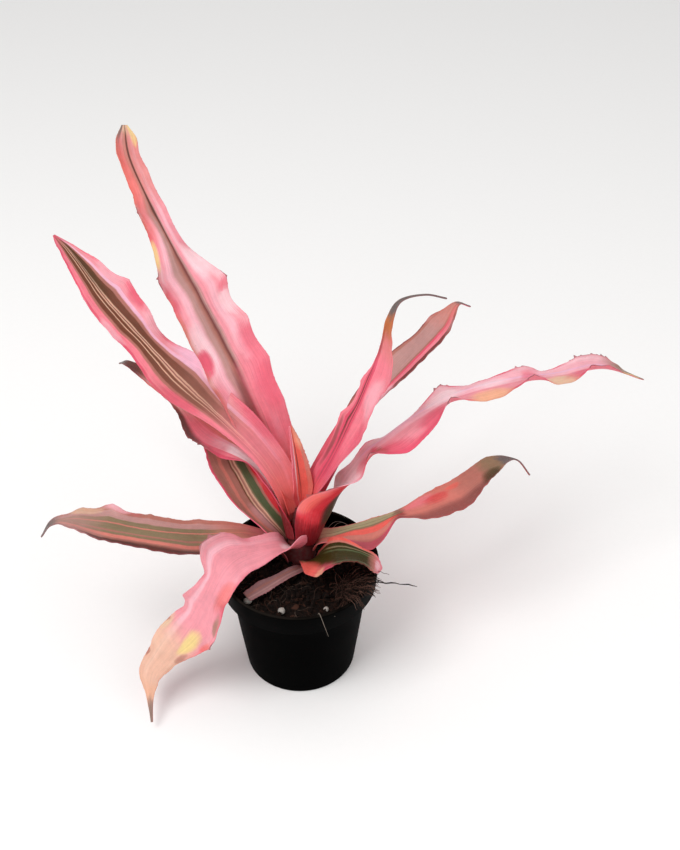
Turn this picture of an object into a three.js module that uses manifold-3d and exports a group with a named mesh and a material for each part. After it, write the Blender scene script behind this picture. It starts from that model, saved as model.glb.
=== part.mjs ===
// A potted pink starlight earth star: a loose rosette of long wavy-edged leaves on a short stem,
// standing in a small black nursery pot filled with bark and coir.
// Millimetres, +Z up. The origin is the middle of the pot's underside, and -Y is the front.
import * as THREE from "three";
import { mergeVertices } from "three/addons/utils/BufferGeometryUtils.js";
import Module from "manifold-3d";

const wasm = await Module();
wasm.setup();

const CLEARANCE = 0.35; // air kept between pieces that touch

// Pot: a thin moulded 3-inch nursery pot
const POT_HEIGHT = 63;
const POT_RIM_RADIUS = 38;
const POT_NECK_RADIUS = 32.8; // under the collar
const POT_FOOT_RADIUS = 26.8;
const POT_WALL = 1.1;
const POT_FLOOR = 1.5;
const POT_COLLAR = 12.5; // height of the stepped collar under the rim
const POT_SEGMENTS = 48;
const DRAIN_HOLES = 6;
const DRAIN_RADIUS = 3.2;
const DRAIN_CIRCLE = 18;

// Growing mix
const SOIL_LEVEL = 53.5;
const SOIL_RINGS = 9;
const SOIL_SEGMENTS = 36;
const SOIL_HUMP = 2; // how far it rises towards the stem
const SOIL_LUMP = 0.8; // height of its bark lumps

// Stem: a short thick cone that leans back, with its rootstock in the mix
const STEM_FOOT = { x: 1, y: 10, z: SOIL_LEVEL };
const STEM_LEAN = THREE.MathUtils.degToRad(8);
const STEM_ROOT_DEPTH = 16;
const STEM_ROOT_RADIUS = 6.5;
const STEM_COLLAR_RADIUS = 7.6;
const STEM_TOP_RADIUS = 2.2;
const STEM_HEIGHT = 30;
const STEM_SEGMENTS = 20;

// Dry roots and perlite on top of the mix; each grain has its place and size
const CLUMP_PLACE = { x: 21.5, y: -12 };
const CLUMP_ENDS = 12;
// and the roots that reach over the rim, the long one first
const RIM_ROOTS = [
  [[22, -13, 56], [28, -16.5, 61], [34, -19.5, 65.6], [44, -21, 66.2], [54, -21, 64]],
  [[23, -15, 56.5], [28, -21, 62], [31, -24, 65.5], [34.5, -26.5, 63.5]],
  [[21, -16, 56.5], [24, -24, 61.5], [26.5, -29, 65.2], [29, -32, 61.5]],
  [[24, -12, 57], [30, -15, 63], [34, -17, 65.8], [39.5, -19.5, 65]],
];
const STRAND_SIDES = 5;
const PERLITE = [[-24, -18.7, 2], [-8.5, -25.5, 2], [12, -25, 1.5], [24, 17, 1.6]];

// Leaves
const STATION_STEP = 5; // along a leaf
const ACROSS = 4; // divisions from margin to margin
const BLADE_THICKNESS = 1.0; // along the midrib
const MARGIN_THICKNESS = 0.66;
const RUFFLE_RISE = 1; // how far a margin rises for each millimetre that it stands out

// Each leaf: its midrib's points from the stem outwards; the widths of its left and right halves; the
// roll of the blade about the midrib and how far its margins curl up, in degrees; all evenly spaced
// from base to tip. Then, where they aren't to follow from the widths, how far the margins rise or
// hang or how strongly they ruffle; and the share of the leaf's length that is dry thread.
const LEAVES = [
  {
    name: "leaf_right_long", color: 0xf08f9c,
    midrib: [
      [8.6, 12.1, 65], [12, 12.7, 72], [15.8, 13.8, 80], [19, 15, 88], [24, 17, 97], [31, 20, 107],
      [41, 23, 115], [52, 29, 120], [70, 38, 125], [88, 45, 127], [108, 51, 127], [129, 58, 124.5],
      [152, 69, 120.5], [178, 80, 104.5],
    ],
    left: [8, 9, 11, 9, 4, 5, 3.5, 3.5, 5, 7.5, 6.5, 6, 6.5, 7, 6, 6.5, 7, 7, 6, 4.5, 0.8],
    right: [16, 21, 21, 11, 9, 7, 13, 11, 9, 6, 7, 8.5, 8, 5.5, 7, 6.5, 5, 5, 5, 4.5, 0.8],
    rise: {
      left: [0, 0, 0, 0, 0, 1, -3.5, -3, -1, 4.5, -1, -1, 1, 3.5, -0.5, 1, 3.5, 3.5, 2, 0, 0],
      right: [0, 0, 3, 3, -1, 4, -4, -4.5, -2, 4.5, -1.5, -3, 0, 4, -2, -2, 3, 2, 0, 0, 0],
    },
    roll: [0, -32, 5, 0, 0, -5, -5, -10, -10, -10, -10], curl: [62, 26, 15, 15, 15, 15, 15, 15, 15, 15],
    thread: 0,
  },
  {
    name: "leaf_front_droop", color: 0xf0a7ab,
    midrib: [
      [-3.3, 5.6, 66], [-6.6, 2.4, 70], [-12, -1.2, 72.7], [-19.9, -5.2, 75], [-27.6, -9.6, 77],
      [-33.8, -15, 76], [-39.1, -20.4, 69.5], [-43.3, -22.2, 59], [-48.7, -22.5, 48],
      [-55.1, -23.3, 36.5], [-62.9, -25.5, 26.5], [-69.8, -29.2, 19.5], [-71.7, -35.3, 12],
      [-70.9, -45.5, 5],
    ],
    left: [13, 14, 10, 9, 10, 10.5, 11, 10.5, 10.5, 8.5, 14, 17.5, 13.5, 11, 8, 5, 5.5, 5.5, 3, 1.5, 0.6],
    right: [7, 8, 7.5, 6.5, 6.5, 12, 15, 6.5, 7, 9.5, 11.5, 9.5, 11.5, 13, 14, 13, 10.5, 8, 3, 1.2, 0.6],
    roll: [0, -12, -36, -38, -25, -10, -5, 0, 0, 0, 0], curl: [60, 20, 8, 8, 8, 8, 10, 10, 15, 20],
    thread: 0.12,
  },
  {
    name: "leaf_heart", color: 0xe8695c,
    midrib: [[2.8, 17, 81], [1.8, 19.3, 93], [0, 23, 110], [-2, 27, 122]],
    left: [3, 5, 4, 2.5, 0.8],
    right: [3, 6.5, 6, 4, 0.8],
    roll: [0, 0], curl: [60, 45], thread: 0,
  },
  {
    name: "leaf_front_right", color: 0x7d7a45,
    midrib: [
      [6.9, 4.3, 58.3], [9.8, 1.3, 64], [14, -3, 70.5], [20, -6.5, 75], [28, -9.5, 75.5],
      [35, -10.5, 71.5], [38.5, -9.5, 64.5],
    ],
    left: [6, 7, 8, 8.5, 8, 6.5, 4.5, 3, 3, 2, 0.8],
    right: [7, 10, 12, 15, 15, 15, 12.5, 9, 9.5, 6, 0.8],
    rise: {
      left: [0, 0, 0, 0, 0, 0, 0, 0, 0, 0, 0],
      right: [0, 0, -2, -4, -6, -3, 0, 0, 0, 0, 0],
    },
    roll: [0, 0, 0], curl: [25, 20], thread: 0,
  },
  {
    name: "leaf_broad_left", color: 0xd9828a,
    midrib: [
      [-3.3, 15.7, 73], [-4.6, 17.2, 80], [-6.5, 18.4, 89.5], [-16, 25, 104.7], [-32, 36.5, 118],
      [-52, 50, 133], [-67, 62, 145], [-87, 80, 160], [-106, 106, 172], [-115, 118, 174],
    ],
    left: [5, 4.5, 4, 3.5, 3.5, 4, 5, 6.5, 9, 12, 13, 11, 9.5, 11, 10.5, 10, 8, 7, 6, 4, 0.6],
    right: [
      5, 6.5, 9, 12.5, 13, 14.5, 13, 11.5, 13, 16, 13, 9.5, 9, 12, 13, 14.5, 10.5, 8.5, 5, 2.5, 0.6,
    ],
    roll: [0, -22, -42, -36, -28, -20, -15, -12, -10, -10, -10], curl: [32, 16, 12, 14, 25], thread: 0,
  },
  {
    name: "leaf_right_up", color: 0xdb6f80,
    midrib: [
      [5.3, 14.5, 75], [6.5, 15.5, 82], [9, 17, 91], [17, 19, 107], [26, 22, 127], [33, 25, 144],
      [39, 30, 161], [43, 36, 173], [48, 42, 178], [60, 47, 178], [70, 50, 174],
    ],
    left: [5, 5, 5.5, 6, 6.5, 6, 6, 7, 8, 5, 4.5, 4.5, 2, 1, 1, 1.5, 1.2, 0.8, 0.6, 0.6, 0.6],
    right: [6, 6.5, 7.5, 8, 9, 10, 11, 12.5, 15, 15.5, 10.5, 12.5, 18, 15.5, 7.5, 4, 2, 1, 0.6, 0.6, 0.6],
    roll: [0, 0, 0, 0, 0], curl: [50, 22, 12, 20, 40], ruffle: 0.3, thread: 0.2,
  },
  {
    name: "leaf_under_left", color: 0xd99aa6,
    midrib: [
      [-3.9, 15.9, 67], [-5, 17.8, 74], [-6.2, 20, 80], [-9.5, 25.5, 88.8], [-20, 37.5, 97],
      [-33, 46, 103.5], [-48, 55.5, 110], [-67, 67, 118], [-82, 83, 120.5], [-87, 92, 115],
    ],
    left: [12, 12, 10, 8, 7, 9, 12, 12.5, 14, 21, 21, 15, 8, 3.5, 2, 2, 1.5, 1.5, 2, 1, 0.6],
    right: [8, 8, 9, 9, 10, 10, 10, 9, 7, 3, 0.6],
    roll: [0, 0, 0, 0, 0], curl: [60, 22, 12, 14, 30], thread: 0.06,
  },
  {
    name: "leaf_low_back_left", color: 0xa56a5f,
    midrib: [
      [-5.3, 14.9, 63], [-8, 15.5, 68], [-13, 17.5, 75], [-20, 25, 81], [-28, 38, 89], [-37, 54, 96],
      [-47, 70, 101], [-58, 86, 104],
    ],
    left: [5, 9, 13, 16, 17, 16.5, 15.5, 15.5, 15, 14.5, 13, 11.5, 10.5, 10, 9, 8, 7, 6, 4, 2.5, 0.8],
    right: [7, 8, 9.5, 9, 9, 9.5, 10, 10, 9.5, 10, 10, 9, 8.5, 8, 7.5, 7, 6, 5, 4, 2.5, 0.8],
    roll: [0, 0, 0, 0], curl: [40, 15, 16, 25], thread: 0,
  },
  {
    name: "leaf_right_low", color: 0xc9655f,
    midrib: [
      [8.6, 11, 62], [10.2, 10.8, 65.5], [17, 11.5, 66.8], [25, 12.5, 69], [35, 11.5, 73], [46, 11, 79],
      [63, 14, 85], [80, 20, 89], [95, 30, 92], [101, 34, 92], [108, 37, 89], [114, 34, 82],
    ],
    left: [6, 5.5, 4.5, 3.5, 3.5, 4, 3, 2.5, 3, 4.5, 5.5, 6, 6, 6.5, 6.5, 6.5, 6, 3, 0.6, 0.6, 0.6],
    right: [5, 6.5, 9, 12, 15, 17, 14, 4.5, 8, 13, 15.5, 16, 16, 11.5, 9, 7, 5, 2.5, 0.6, 0.6, 0.6],
    rise: {
      left: [0, 0, 0, 0, 0, 0, 0, 0, 0, 0, 0, 0, 0, 0, 0, 0, 0, 0, 0, 0, 0],
      right: [0, 0, 0, -1, -3, -4.5, -3, 0, 0, -1, -1.5, -1.5, -1.5, -1, 0, 0, 0, 0, 0, 0, 0],
    },
    roll: [0, 0, 0, 0], curl: [30, 22, 25, 30], thread: 0.18,
  },
  {
    name: "leaf_level_left", color: 0xa98272,
    midrib: [
      [-7.5, 10.5, 58], [-9, 10, 61], [-12.5, 9.5, 65], [-18, 9.5, 69], [-26, 8.5, 72.5], [-45, 3, 77],
      [-67, 0, 83], [-90, 4, 86], [-106, 6, 87], [-114, 8, 83], [-120, 10, 74],
    ],
    left: [7, 9, 10, 11, 13, 16, 17.5, 17, 16.5, 14, 12, 11.5, 12, 13, 12.5, 11, 7, 2.5, 1.2, 0.8, 0.6],
    right: [7, 6.5, 5.5, 5.5, 6.5, 8, 9, 10, 9.5, 10, 10.5, 11, 10.5, 10.5, 12, 9, 7.5, 4, 3, 1.5, 0.6],
    roll: [0, 0, 0, 0], curl: [30, 12, 14, 30], thread: 0.12,
  },
  {
    name: "leaf_right_behind", color: 0xc07078,
    midrib: [
      [5.2, 15.9, 71], [7, 18.5, 79], [10.5, 22.5, 88], [24, 34, 108], [38, 43, 124], [55, 53, 139],
      [70, 64, 149], [79, 74, 156], [86, 78, 152],
    ],
    left: [5, 6, 7.5, 8, 8, 8, 8, 8, 8.5, 9.5, 10, 11, 10.5, 10, 9, 8, 8, 7.5, 3.5, 1.2, 0.6],
    right: [6, 7, 7, 6.5, 6, 5.5, 5, 4.5, 4, 3, 1.5, 4, 5.5, 6.5, 7, 7, 6.5, 6.5, 3.5, 1.2, 0.6],
    roll: [0, 0, 0, 0], curl: [35, 22, 20, 30], thread: 0.08,
  },
  {
    name: "leaf_tall_back", color: 0xee8894,
    midrib: [
      [-1.1, 16.8, 78], [-2.2, 18.7, 83], [-3.1, 21.2, 88], [-5, 27, 94.5], [-12, 37.5, 108],
      [-25, 51.5, 136], [-42, 68.5, 167.5], [-59, 88, 195], [-73, 114, 215], [-77, 135.5, 222.5],
    ],
    left: [4, 5.5, 8, 10.5, 13, 15, 14, 16.5, 14.5, 16, 15, 14, 18, 10.5, 7, 11, 5.5, 5.5, 6.5, 5, 1.5],
    right: [
      4, 5.5, 8, 11, 12.5, 14.5, 13.5, 16, 14, 15.5, 12.5, 15.5, 10.5, 6.5, 5.5, 6, 5.5, 6, 5, 5, 1.5,
    ],
    roll: [0, -20, -10, 0, 0], curl: [35, 16, 14, 14, 18], thread: 0,
  },
  {
    name: "leaf_withered", color: 0x8f5f68,
    midrib: [[3.2, 1.9, 57.3], [2, -1.2, 59], [-4, -6, 60.5], [-12, -12, 60.5], [-24, -20, 59]],
    left: [2.5, 3, 3, 3.5, 2.5],
    right: [2.5, 3, 3, 4.5, 3.5],
    roll: [0, 0], curl: [20, 20], thread: 0,
  },
];

const radians = THREE.MathUtils.degToRad;

// The middle of the stem at a height
const stemAxis = (z) =>
  new THREE.Vector3(STEM_FOOT.x, STEM_FOOT.y + (z - STEM_FOOT.z) * Math.tan(STEM_LEAN), z);

// The value at share u of evenly spaced keys, eased between them
function along(keys, u) {
  const place = Math.min(Math.max(u, 0), 1) * (keys.length - 1);
  const i = Math.min(Math.floor(place), keys.length - 2);
  return THREE.MathUtils.lerp(keys[i], keys[i + 1], THREE.MathUtils.smoothstep(place - i, 0, 1));
}

// As along(), but in one smooth line with a point at each key that stands out from its neighbours
function wavy(keys, u) {
  const last = keys.length - 2;
  const step = (i) => keys[i + 1] - keys[i];
  const slope = (i, before) => {
    if (i === 0 || i > last) return step(Math.min(i, last));
    if (step(i - 1) > 0 && step(i) < 0) return step(i - before);
    return (step(i - 1) + step(i)) / 2;
  };
  const place = Math.min(Math.max(u, 0), 1) * (last + 1);
  const i = Math.min(Math.floor(place), last);
  const t = place - i;
  const bend = (1 - t) * (slope(i, 0) - step(i)) - t * (slope(i + 1, 1) - step(i));
  return keys[i] + step(i) * t + t * (1 - t) * bend;
}

// A leaf's half width on one side at share u, and how far its margin rises there
function margin(leaf, side, u) {
  const half = wavy(leaf[side], u);
  if (leaf.rise) return [half, wavy(leaf.rise[side], u)];
  let around = 0;
  for (const shift of [-0.07, -0.035, 0, 0.035, 0.07]) around += wavy(leaf[side], u + shift) / 5;
  const fade = 1 - THREE.MathUtils.smoothstep(u, 0.95 - leaf.thread, 1 - leaf.thread);
  return [half, (leaf.ruffle ?? RUFFLE_RISE) * (half - around) * fade];
}

// A closed shell of the given thickness round a grid of points, with both faces split alike
function shell(rows, thicknessAt) {
  const nu = rows.length;
  const nv = rows[0].length;
  const positions = [];
  const normal = (i, j) => {
    const along1 = rows[Math.min(i + 1, nu - 1)][j].clone().sub(rows[Math.max(i - 1, 0)][j]);
    const across = rows[i][Math.min(j + 1, nv - 1)].clone().sub(rows[i][Math.max(j - 1, 0)]);
    return along1.cross(across).normalize();
  };
  for (const side of [1, -1])
    for (let i = 0; i < nu; i++)
      for (let j = 0; j < nv; j++) {
        const p = rows[i][j].clone().addScaledVector(normal(i, j), (side * thicknessAt(i, j)) / 2);
        positions.push(p.x, p.y, p.z);
      }
  const at = (side, i, j) => side * nu * nv + i * nv + j;
  const faces = [];
  for (let i = 0; i < nu - 1; i++)
    for (let j = 0; j < nv - 1; j++) {
      const [a, b, c, d] = [[i, j], [i + 1, j], [i + 1, j + 1], [i, j + 1]];
      faces.push(at(0, ...a), at(0, ...b), at(0, ...c), at(0, ...a), at(0, ...c), at(0, ...d));
      faces.push(at(1, ...a), at(1, ...c), at(1, ...b), at(1, ...a), at(1, ...d), at(1, ...c));
    }
  const rim = [];
  for (let i = 0; i < nu - 1; i++) rim.push([i, 0]);
  for (let j = 0; j < nv - 1; j++) rim.push([nu - 1, j]);
  for (let i = nu - 1; i > 0; i--) rim.push([i, nv - 1]);
  for (let j = nv - 1; j > 0; j--) rim.push([0, j]);
  rim.forEach((p, k) => {
    const q = rim[(k + 1) % rim.length];
    faces.push(at(0, ...p), at(1, ...p), at(1, ...q), at(0, ...p), at(1, ...q), at(0, ...q));
  });
  const geometry = new THREE.BufferGeometry();
  geometry.setAttribute("position", new THREE.Float32BufferAttribute(positions, 3));
  geometry.setIndex(faces);
  return geometry;
}

// A leaf's blade: rows of points across the midrib, curled into a gutter with wavy margins,
// with some extra size all round where its neighbours are to be kept clear
function leafGeometry(leaf, extra) {
  const points = leaf.midrib.map((p) => new THREE.Vector3(...p));
  const curve = new THREE.CatmullRomCurve3(points, false, "centripetal");
  const keys = Math.max(leaf.left.length, leaf.right.length) - 1;
  const steps = keys * Math.max(1, Math.round(curve.getLength() / keys / STATION_STEP));
  const foot = curve.getPoint(0);
  const tip = curve.getPoint(1);
  const fromStem = foot.clone().sub(stemAxis(foot.z));
  const outwards = tip.clone().sub(foot).setZ(0).normalize();
  const clasp = THREE.MathUtils.radToDeg((leaf.left[0] + leaf.right[0]) / 2 / fromStem.length());
  const rows = [];
  for (let i = 0; i <= steps; i++) {
    const u = i / steps;
    const point = curve.getPointAt(u);
    const tangent = curve.getTangentAt(u);
    const heading = fromStem.clone().normalize().lerp(outwards, THREE.MathUtils.smoothstep(u, 0, 0.3));
    const side = new THREE.Vector3(0, 0, 1).cross(heading);
    side.addScaledVector(tangent, -side.dot(tangent)).normalize();
    side.applyAxisAngle(tangent, radians(along(leaf.roll, u)));
    const up = tangent.clone().cross(side);
    const sides = [margin(leaf, "left", u), margin(leaf, "right", u)];
    const curl = Math.max(radians(along([clasp, ...leaf.curl], u)), 0.01);
    const bend = (2 * curl) / (sides[0][0] + sides[1][0] + 2 * extra);
    const row = [];
    for (let j = 0; j <= ACROSS; j++) {
      const v = 1 - (2 * j) / ACROSS;
      const [half, rise] = sides[v > 0 ? 0 : 1];
      const turn = bend * v * (half + extra);
      const height = rise * Math.abs(v) ** 3;
      const sideways = Math.sin(turn) / bend - height * Math.sin(turn);
      const upwards = (1 - Math.cos(turn)) / bend + height * Math.cos(turn);
      row.push(point.clone().addScaledVector(side, sideways).addScaledVector(up, upwards));
    }
    rows.push(row);
  }
  return shell(rows, (i, j) => {
    const v = Math.abs(1 - (2 * j) / ACROSS);
    return THREE.MathUtils.lerp(BLADE_THICKNESS, MARGIN_THICKNESS, v) + 2 * extra;
  });
}

// A closed mesh as a solid that can be cut and joined, and such a solid as a mesh
function solid(geometry) {
  const bare = geometry.clone();
  bare.deleteAttribute("normal");
  bare.deleteAttribute("uv");
  const merged = mergeVertices(bare, 1e-4);
  return new wasm.Manifold(
    new wasm.Mesh({
      numProp: 3,
      vertProperties: merged.getAttribute("position").array,
      triVerts: new Uint32Array(merged.index.array),
    }),
  );
}

function geometryOf(made) {
  const mesh = made.getMesh();
  const geometry = new THREE.BufferGeometry();
  geometry.setAttribute("position", new THREE.BufferAttribute(new Float32Array(mesh.vertProperties), 3));
  geometry.setIndex(new THREE.BufferAttribute(mesh.triVerts, 1));
  return geometry;
}

function lathe(profile, segments) {
  const points = profile.map(([r, z]) => new THREE.Vector2(r, z));
  return new THREE.LatheGeometry(points, segments).rotateX(Math.PI / 2);
}

// The pot's outer radius at a height under its collar
const potRadius = (z) =>
  THREE.MathUtils.mapLinear(z, 0, POT_HEIGHT - POT_COLLAR, POT_FOOT_RADIUS, POT_NECK_RADIUS);

function potGeometry() {
  const neck = POT_HEIGHT - POT_COLLAR;
  const profile = [
    [0, 0],
    [POT_FOOT_RADIUS - 1.2, 0],
    [POT_FOOT_RADIUS, 1.2],
    [potRadius(neck), neck],
    [POT_RIM_RADIUS - 1, neck + 1.2],
    [POT_RIM_RADIUS, POT_HEIGHT - 0.6],
    [POT_RIM_RADIUS - 0.5, POT_HEIGHT],
    [POT_RIM_RADIUS - 1.1, POT_HEIGHT],
    [POT_RIM_RADIUS - 1.7, POT_HEIGHT - 0.8],
    [POT_RIM_RADIUS - 2.3, neck + 2],
    [potRadius(neck) - POT_WALL, neck + 0.7],
    [potRadius(POT_FLOOR) - POT_WALL, POT_FLOOR],
    [0, POT_FLOOR],
  ];
  let pot = solid(lathe(profile, POT_SEGMENTS));
  for (let i = 0; i < DRAIN_HOLES; i++) {
    const angle = (2 * Math.PI * i) / DRAIN_HOLES;
    const hole = new THREE.CylinderGeometry(DRAIN_RADIUS, DRAIN_RADIUS, 4 * POT_FLOOR, 12);
    hole.rotateX(Math.PI / 2).translate(DRAIN_CIRCLE, 0, 0).rotateZ(angle);
    pot = pot.subtract(solid(hole));
  }
  return geometryOf(pot);
}

// How high the mix stands at a place: a hump round the stem and lumps of bark
function soilTop(x, y) {
  const hump = SOIL_HUMP * Math.exp(-((x - STEM_FOOT.x) ** 2 + (y - STEM_FOOT.y) ** 2) / 300);
  const coarse = Math.sin(0.55 * x + 1.3) * Math.sin(0.61 * y - 0.4);
  const fine = 0.7 * Math.sin(0.9 * x - 0.8 * y + 2.1);
  return SOIL_LEVEL + hump + SOIL_LUMP * (coarse + fine);
}

function soilGeometry() {
  // Down its side the mix steps in over the pot's ledge
  const neck = POT_HEIGHT - POT_COLLAR;
  const floor = POT_FLOOR + CLEARANCE;
  const edge = POT_RIM_RADIUS - 2.3 - CLEARANCE;
  const side = [
    [edge, neck + 2 + CLEARANCE],
    [potRadius(neck) - POT_WALL - CLEARANCE, neck + 0.7 + CLEARANCE],
    [potRadius(floor) - POT_WALL - CLEARANCE, floor],
  ];
  const positions = [0, 0, soilTop(0, 0)];
  const ring = (k) => 1 + (k - 1) * SOIL_SEGMENTS;
  for (let k = 1; k <= SOIL_RINGS; k++)
    for (let s = 0; s < SOIL_SEGMENTS; s++) {
      const angle = (2 * Math.PI * s) / SOIL_SEGMENTS;
      const radius = (edge * k) / SOIL_RINGS;
      const [x, y] = [radius * Math.cos(angle), radius * Math.sin(angle)];
      const z = k === SOIL_RINGS ? SOIL_LEVEL - 0.2 : soilTop(x, y);
      positions.push(x, y, z);
    }
  for (const [radius, z] of side)
    for (let s = 0; s < SOIL_SEGMENTS; s++) {
      const angle = (2 * Math.PI * s) / SOIL_SEGMENTS;
      positions.push(radius * Math.cos(angle), radius * Math.sin(angle), z);
    }
  positions.push(0, 0, floor);
  const rings = SOIL_RINGS + side.length;
  const foot = ring(rings);
  const bottom = foot + SOIL_SEGMENTS;
  const faces = [];
  for (let s = 0; s < SOIL_SEGMENTS; s++) {
    const t = (s + 1) % SOIL_SEGMENTS;
    faces.push(0, ring(1) + s, ring(1) + t);
    for (let k = 1; k < rings; k++) {
      const [inner, outer] = [ring(k), ring(k + 1)];
      faces.push(inner + s, outer + s, outer + t, inner + s, outer + t, inner + t);
    }
    faces.push(bottom, foot + t, foot + s);
  }
  const geometry = new THREE.BufferGeometry();
  geometry.setAttribute("position", new THREE.Float32BufferAttribute(positions, 3));
  geometry.setIndex(faces);
  return geometryOf(solid(geometry).subtract(solid(stemGeometry(CLEARANCE))));
}

// The stem, or with some extra radius the plain hole that it stands in
function stemGeometry(extra) {
  const profile = [
    [0, -STEM_ROOT_DEPTH - extra],
    [STEM_ROOT_RADIUS + extra, -STEM_ROOT_DEPTH - extra],
    [STEM_COLLAR_RADIUS + extra, 0],
    [STEM_COLLAR_RADIUS + extra, 4],
    [STEM_TOP_RADIUS + extra, STEM_HEIGHT - 1],
    [0, STEM_HEIGHT + extra],
  ];
  const { x, y, z } = STEM_FOOT;
  return lathe(profile, STEM_SEGMENTS).rotateX(-STEM_LEAN).translate(x, y, z);
}

function finish(color, roughness) {
  return new THREE.MeshStandardMaterial({ color, roughness, metalness: 0 });
}

const soil = soilGeometry();
const clearOfSoil = solid(soil).translate([0, 0, CLEARANCE]);

// A body cut down so that it rests on the mix
function resting(geometry) {
  return solid(geometry).subtract(clearOfSoil);
}

// A thin tapering strand through some points
function strand(points, thick, thin) {
  const curve = new THREE.CatmullRomCurve3(points.map((p) => new THREE.Vector3(...p)));
  const steps = Math.max(3, Math.round(curve.getLength() / 5));
  const positions = [];
  for (let i = 0; i <= steps; i++) {
    const tangent = curve.getTangentAt(i / steps);
    const across = new THREE.Vector3(-tangent.y, tangent.x, 0).normalize();
    const up = tangent.clone().cross(across);
    const radius = THREE.MathUtils.lerp(thick, thin, i / steps);
    for (let s = 0; s < STRAND_SIDES; s++) {
      const angle = (2 * Math.PI * s) / STRAND_SIDES;
      const p = curve.getPointAt(i / steps);
      p.addScaledVector(across, radius * Math.cos(angle)).addScaledVector(up, radius * Math.sin(angle));
      positions.push(p.x, p.y, p.z);
    }
  }
  const faces = [];
  for (let i = 0; i < steps; i++)
    for (let s = 0; s < STRAND_SIDES; s++) {
      const [a, b] = [i * STRAND_SIDES + s, i * STRAND_SIDES + ((s + 1) % STRAND_SIDES)];
      faces.push(a, b, b + STRAND_SIDES, a, b + STRAND_SIDES, a + STRAND_SIDES);
    }
  for (let s = 1; s < STRAND_SIDES - 1; s++) {
    const end = steps * STRAND_SIDES;
    faces.push(0, s + 1, s, end, end + s, end + s + 1);
  }
  const geometry = new THREE.BufferGeometry();
  geometry.setAttribute("position", new THREE.Float32BufferAttribute(positions, 3));
  geometry.setIndex(faces);
  return geometry;
}

// Dry roots by the rim: a matted clump with stray ends and roots that reach over the rim
function rootsGeometry() {
  const { x, y } = CLUMP_PLACE;
  const z = soilTop(x, y);
  let clump = resting(new THREE.IcosahedronGeometry(1, 2).scale(7, 5.5, 4).translate(x, y, z + 0.6));
  for (let i = 0; i < CLUMP_ENDS; i++) {
    const angle = 2.4 * i;
    const reach = 6.5 + 2.5 * Math.sin(3.7 * i);
    const rise = 3 + 2.5 * Math.sin(1.9 * i + 1);
    const [east, north] = [reach * Math.cos(angle), reach * Math.sin(angle)];
    const elbow = [x + 0.55 * east, y + 0.5 * north, z + 2.6 + 0.4 * rise];
    const end = [x + east, y + north, z + 2 + rise];
    clump = clump.add(solid(strand([[x, y, z + 2.2], elbow, end], 0.75, 0.4)));
  }
  for (const [i, route] of RIM_ROOTS.entries()) {
    clump = clump.add(solid(i ? strand(route, 0.7, 0.35) : strand(route, 0.9, 0.45)));
  }
  return geometryOf(clump);
}

const plant = new THREE.Group();
function add(name, geometry, material) {
  geometry.computeVertexNormals();
  const mesh = new THREE.Mesh(geometry, material);
  mesh.name = name;
  plant.add(mesh);
}

add("pot", potGeometry(), finish(0x0b0c0d, 0.45));
add("soil", soil, finish(0x2a1a13, 0.95));
add("stem", stemGeometry(0), finish(0x8a3b34, 0.7));
add("dry_roots", rootsGeometry(), finish(0x3a2a1f, 0.9));
PERLITE.forEach(([x, y, size], i) => {
  const grain = new THREE.IcosahedronGeometry(size, 1).scale(1, 0.8, 0.75).rotateZ(i);
  grain.translate(x, y, soilTop(x, y) + 0.7 * size);
  add(`perlite_${i + 1}`, geometryOf(resting(grain)), finish(0xe9e6df, 0.9));
});

// Leaves, front ones first: where one would run into a leaf already in place it is trimmed back
const inPlace = [];
for (const leaf of LEAVES) {
  let blade = solid(leafGeometry(leaf, 0));
  for (const other of inPlace)
    if (blade.intersect(other.blade).volume() > 0.001) {
      const parts = blade.subtract(other.grown).decompose();
      blade = parts.reduce((best, part) => (part.volume() > best.volume() ? part : best));
    }
  inPlace.push({ blade, grown: solid(leafGeometry(leaf, CLEARANCE)) });
  add(leaf.name, geometryOf(blade), finish(leaf.color, 0.5));
}

export default plant;
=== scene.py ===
"""A potted pink starlight earth star: the finished look of its leaves, pot, growing mix and roots.

Metres, +Z up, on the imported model's own frame. Sizes are given in millimetres, as the plain
solids have them, and every leaf follows the midrib, widths, curl and waves of its solid.
"""

import math

import bpy
import numpy as np
from bpy.props import FloatProperty, FloatVectorProperty, IntProperty, PointerProperty
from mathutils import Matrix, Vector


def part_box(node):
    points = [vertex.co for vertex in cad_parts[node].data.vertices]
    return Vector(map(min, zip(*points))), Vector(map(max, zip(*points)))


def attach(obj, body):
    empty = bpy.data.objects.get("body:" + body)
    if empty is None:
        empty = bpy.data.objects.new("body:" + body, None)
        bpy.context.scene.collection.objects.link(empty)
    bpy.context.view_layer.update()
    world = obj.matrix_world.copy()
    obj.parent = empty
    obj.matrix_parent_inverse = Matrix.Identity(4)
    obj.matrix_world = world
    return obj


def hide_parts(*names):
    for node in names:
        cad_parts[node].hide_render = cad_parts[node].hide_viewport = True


bl_info = {
    "name": "Potted earth star",
    "version": (1, 0, 0),
    "blender": (4, 5, 0),
    "location": "View3D > Sidebar > Earth star",
    "description": "Leaves, pot, growing mix, roots and stage of a potted earth star",
    "category": "Add Mesh",
}

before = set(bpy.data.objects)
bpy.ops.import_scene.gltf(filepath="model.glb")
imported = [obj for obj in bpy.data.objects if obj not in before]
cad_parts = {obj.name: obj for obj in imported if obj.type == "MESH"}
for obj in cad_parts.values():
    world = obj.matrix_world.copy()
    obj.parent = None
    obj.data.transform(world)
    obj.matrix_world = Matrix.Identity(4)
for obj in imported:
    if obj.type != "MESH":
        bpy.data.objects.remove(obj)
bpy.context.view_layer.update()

MM = 0.001

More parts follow.
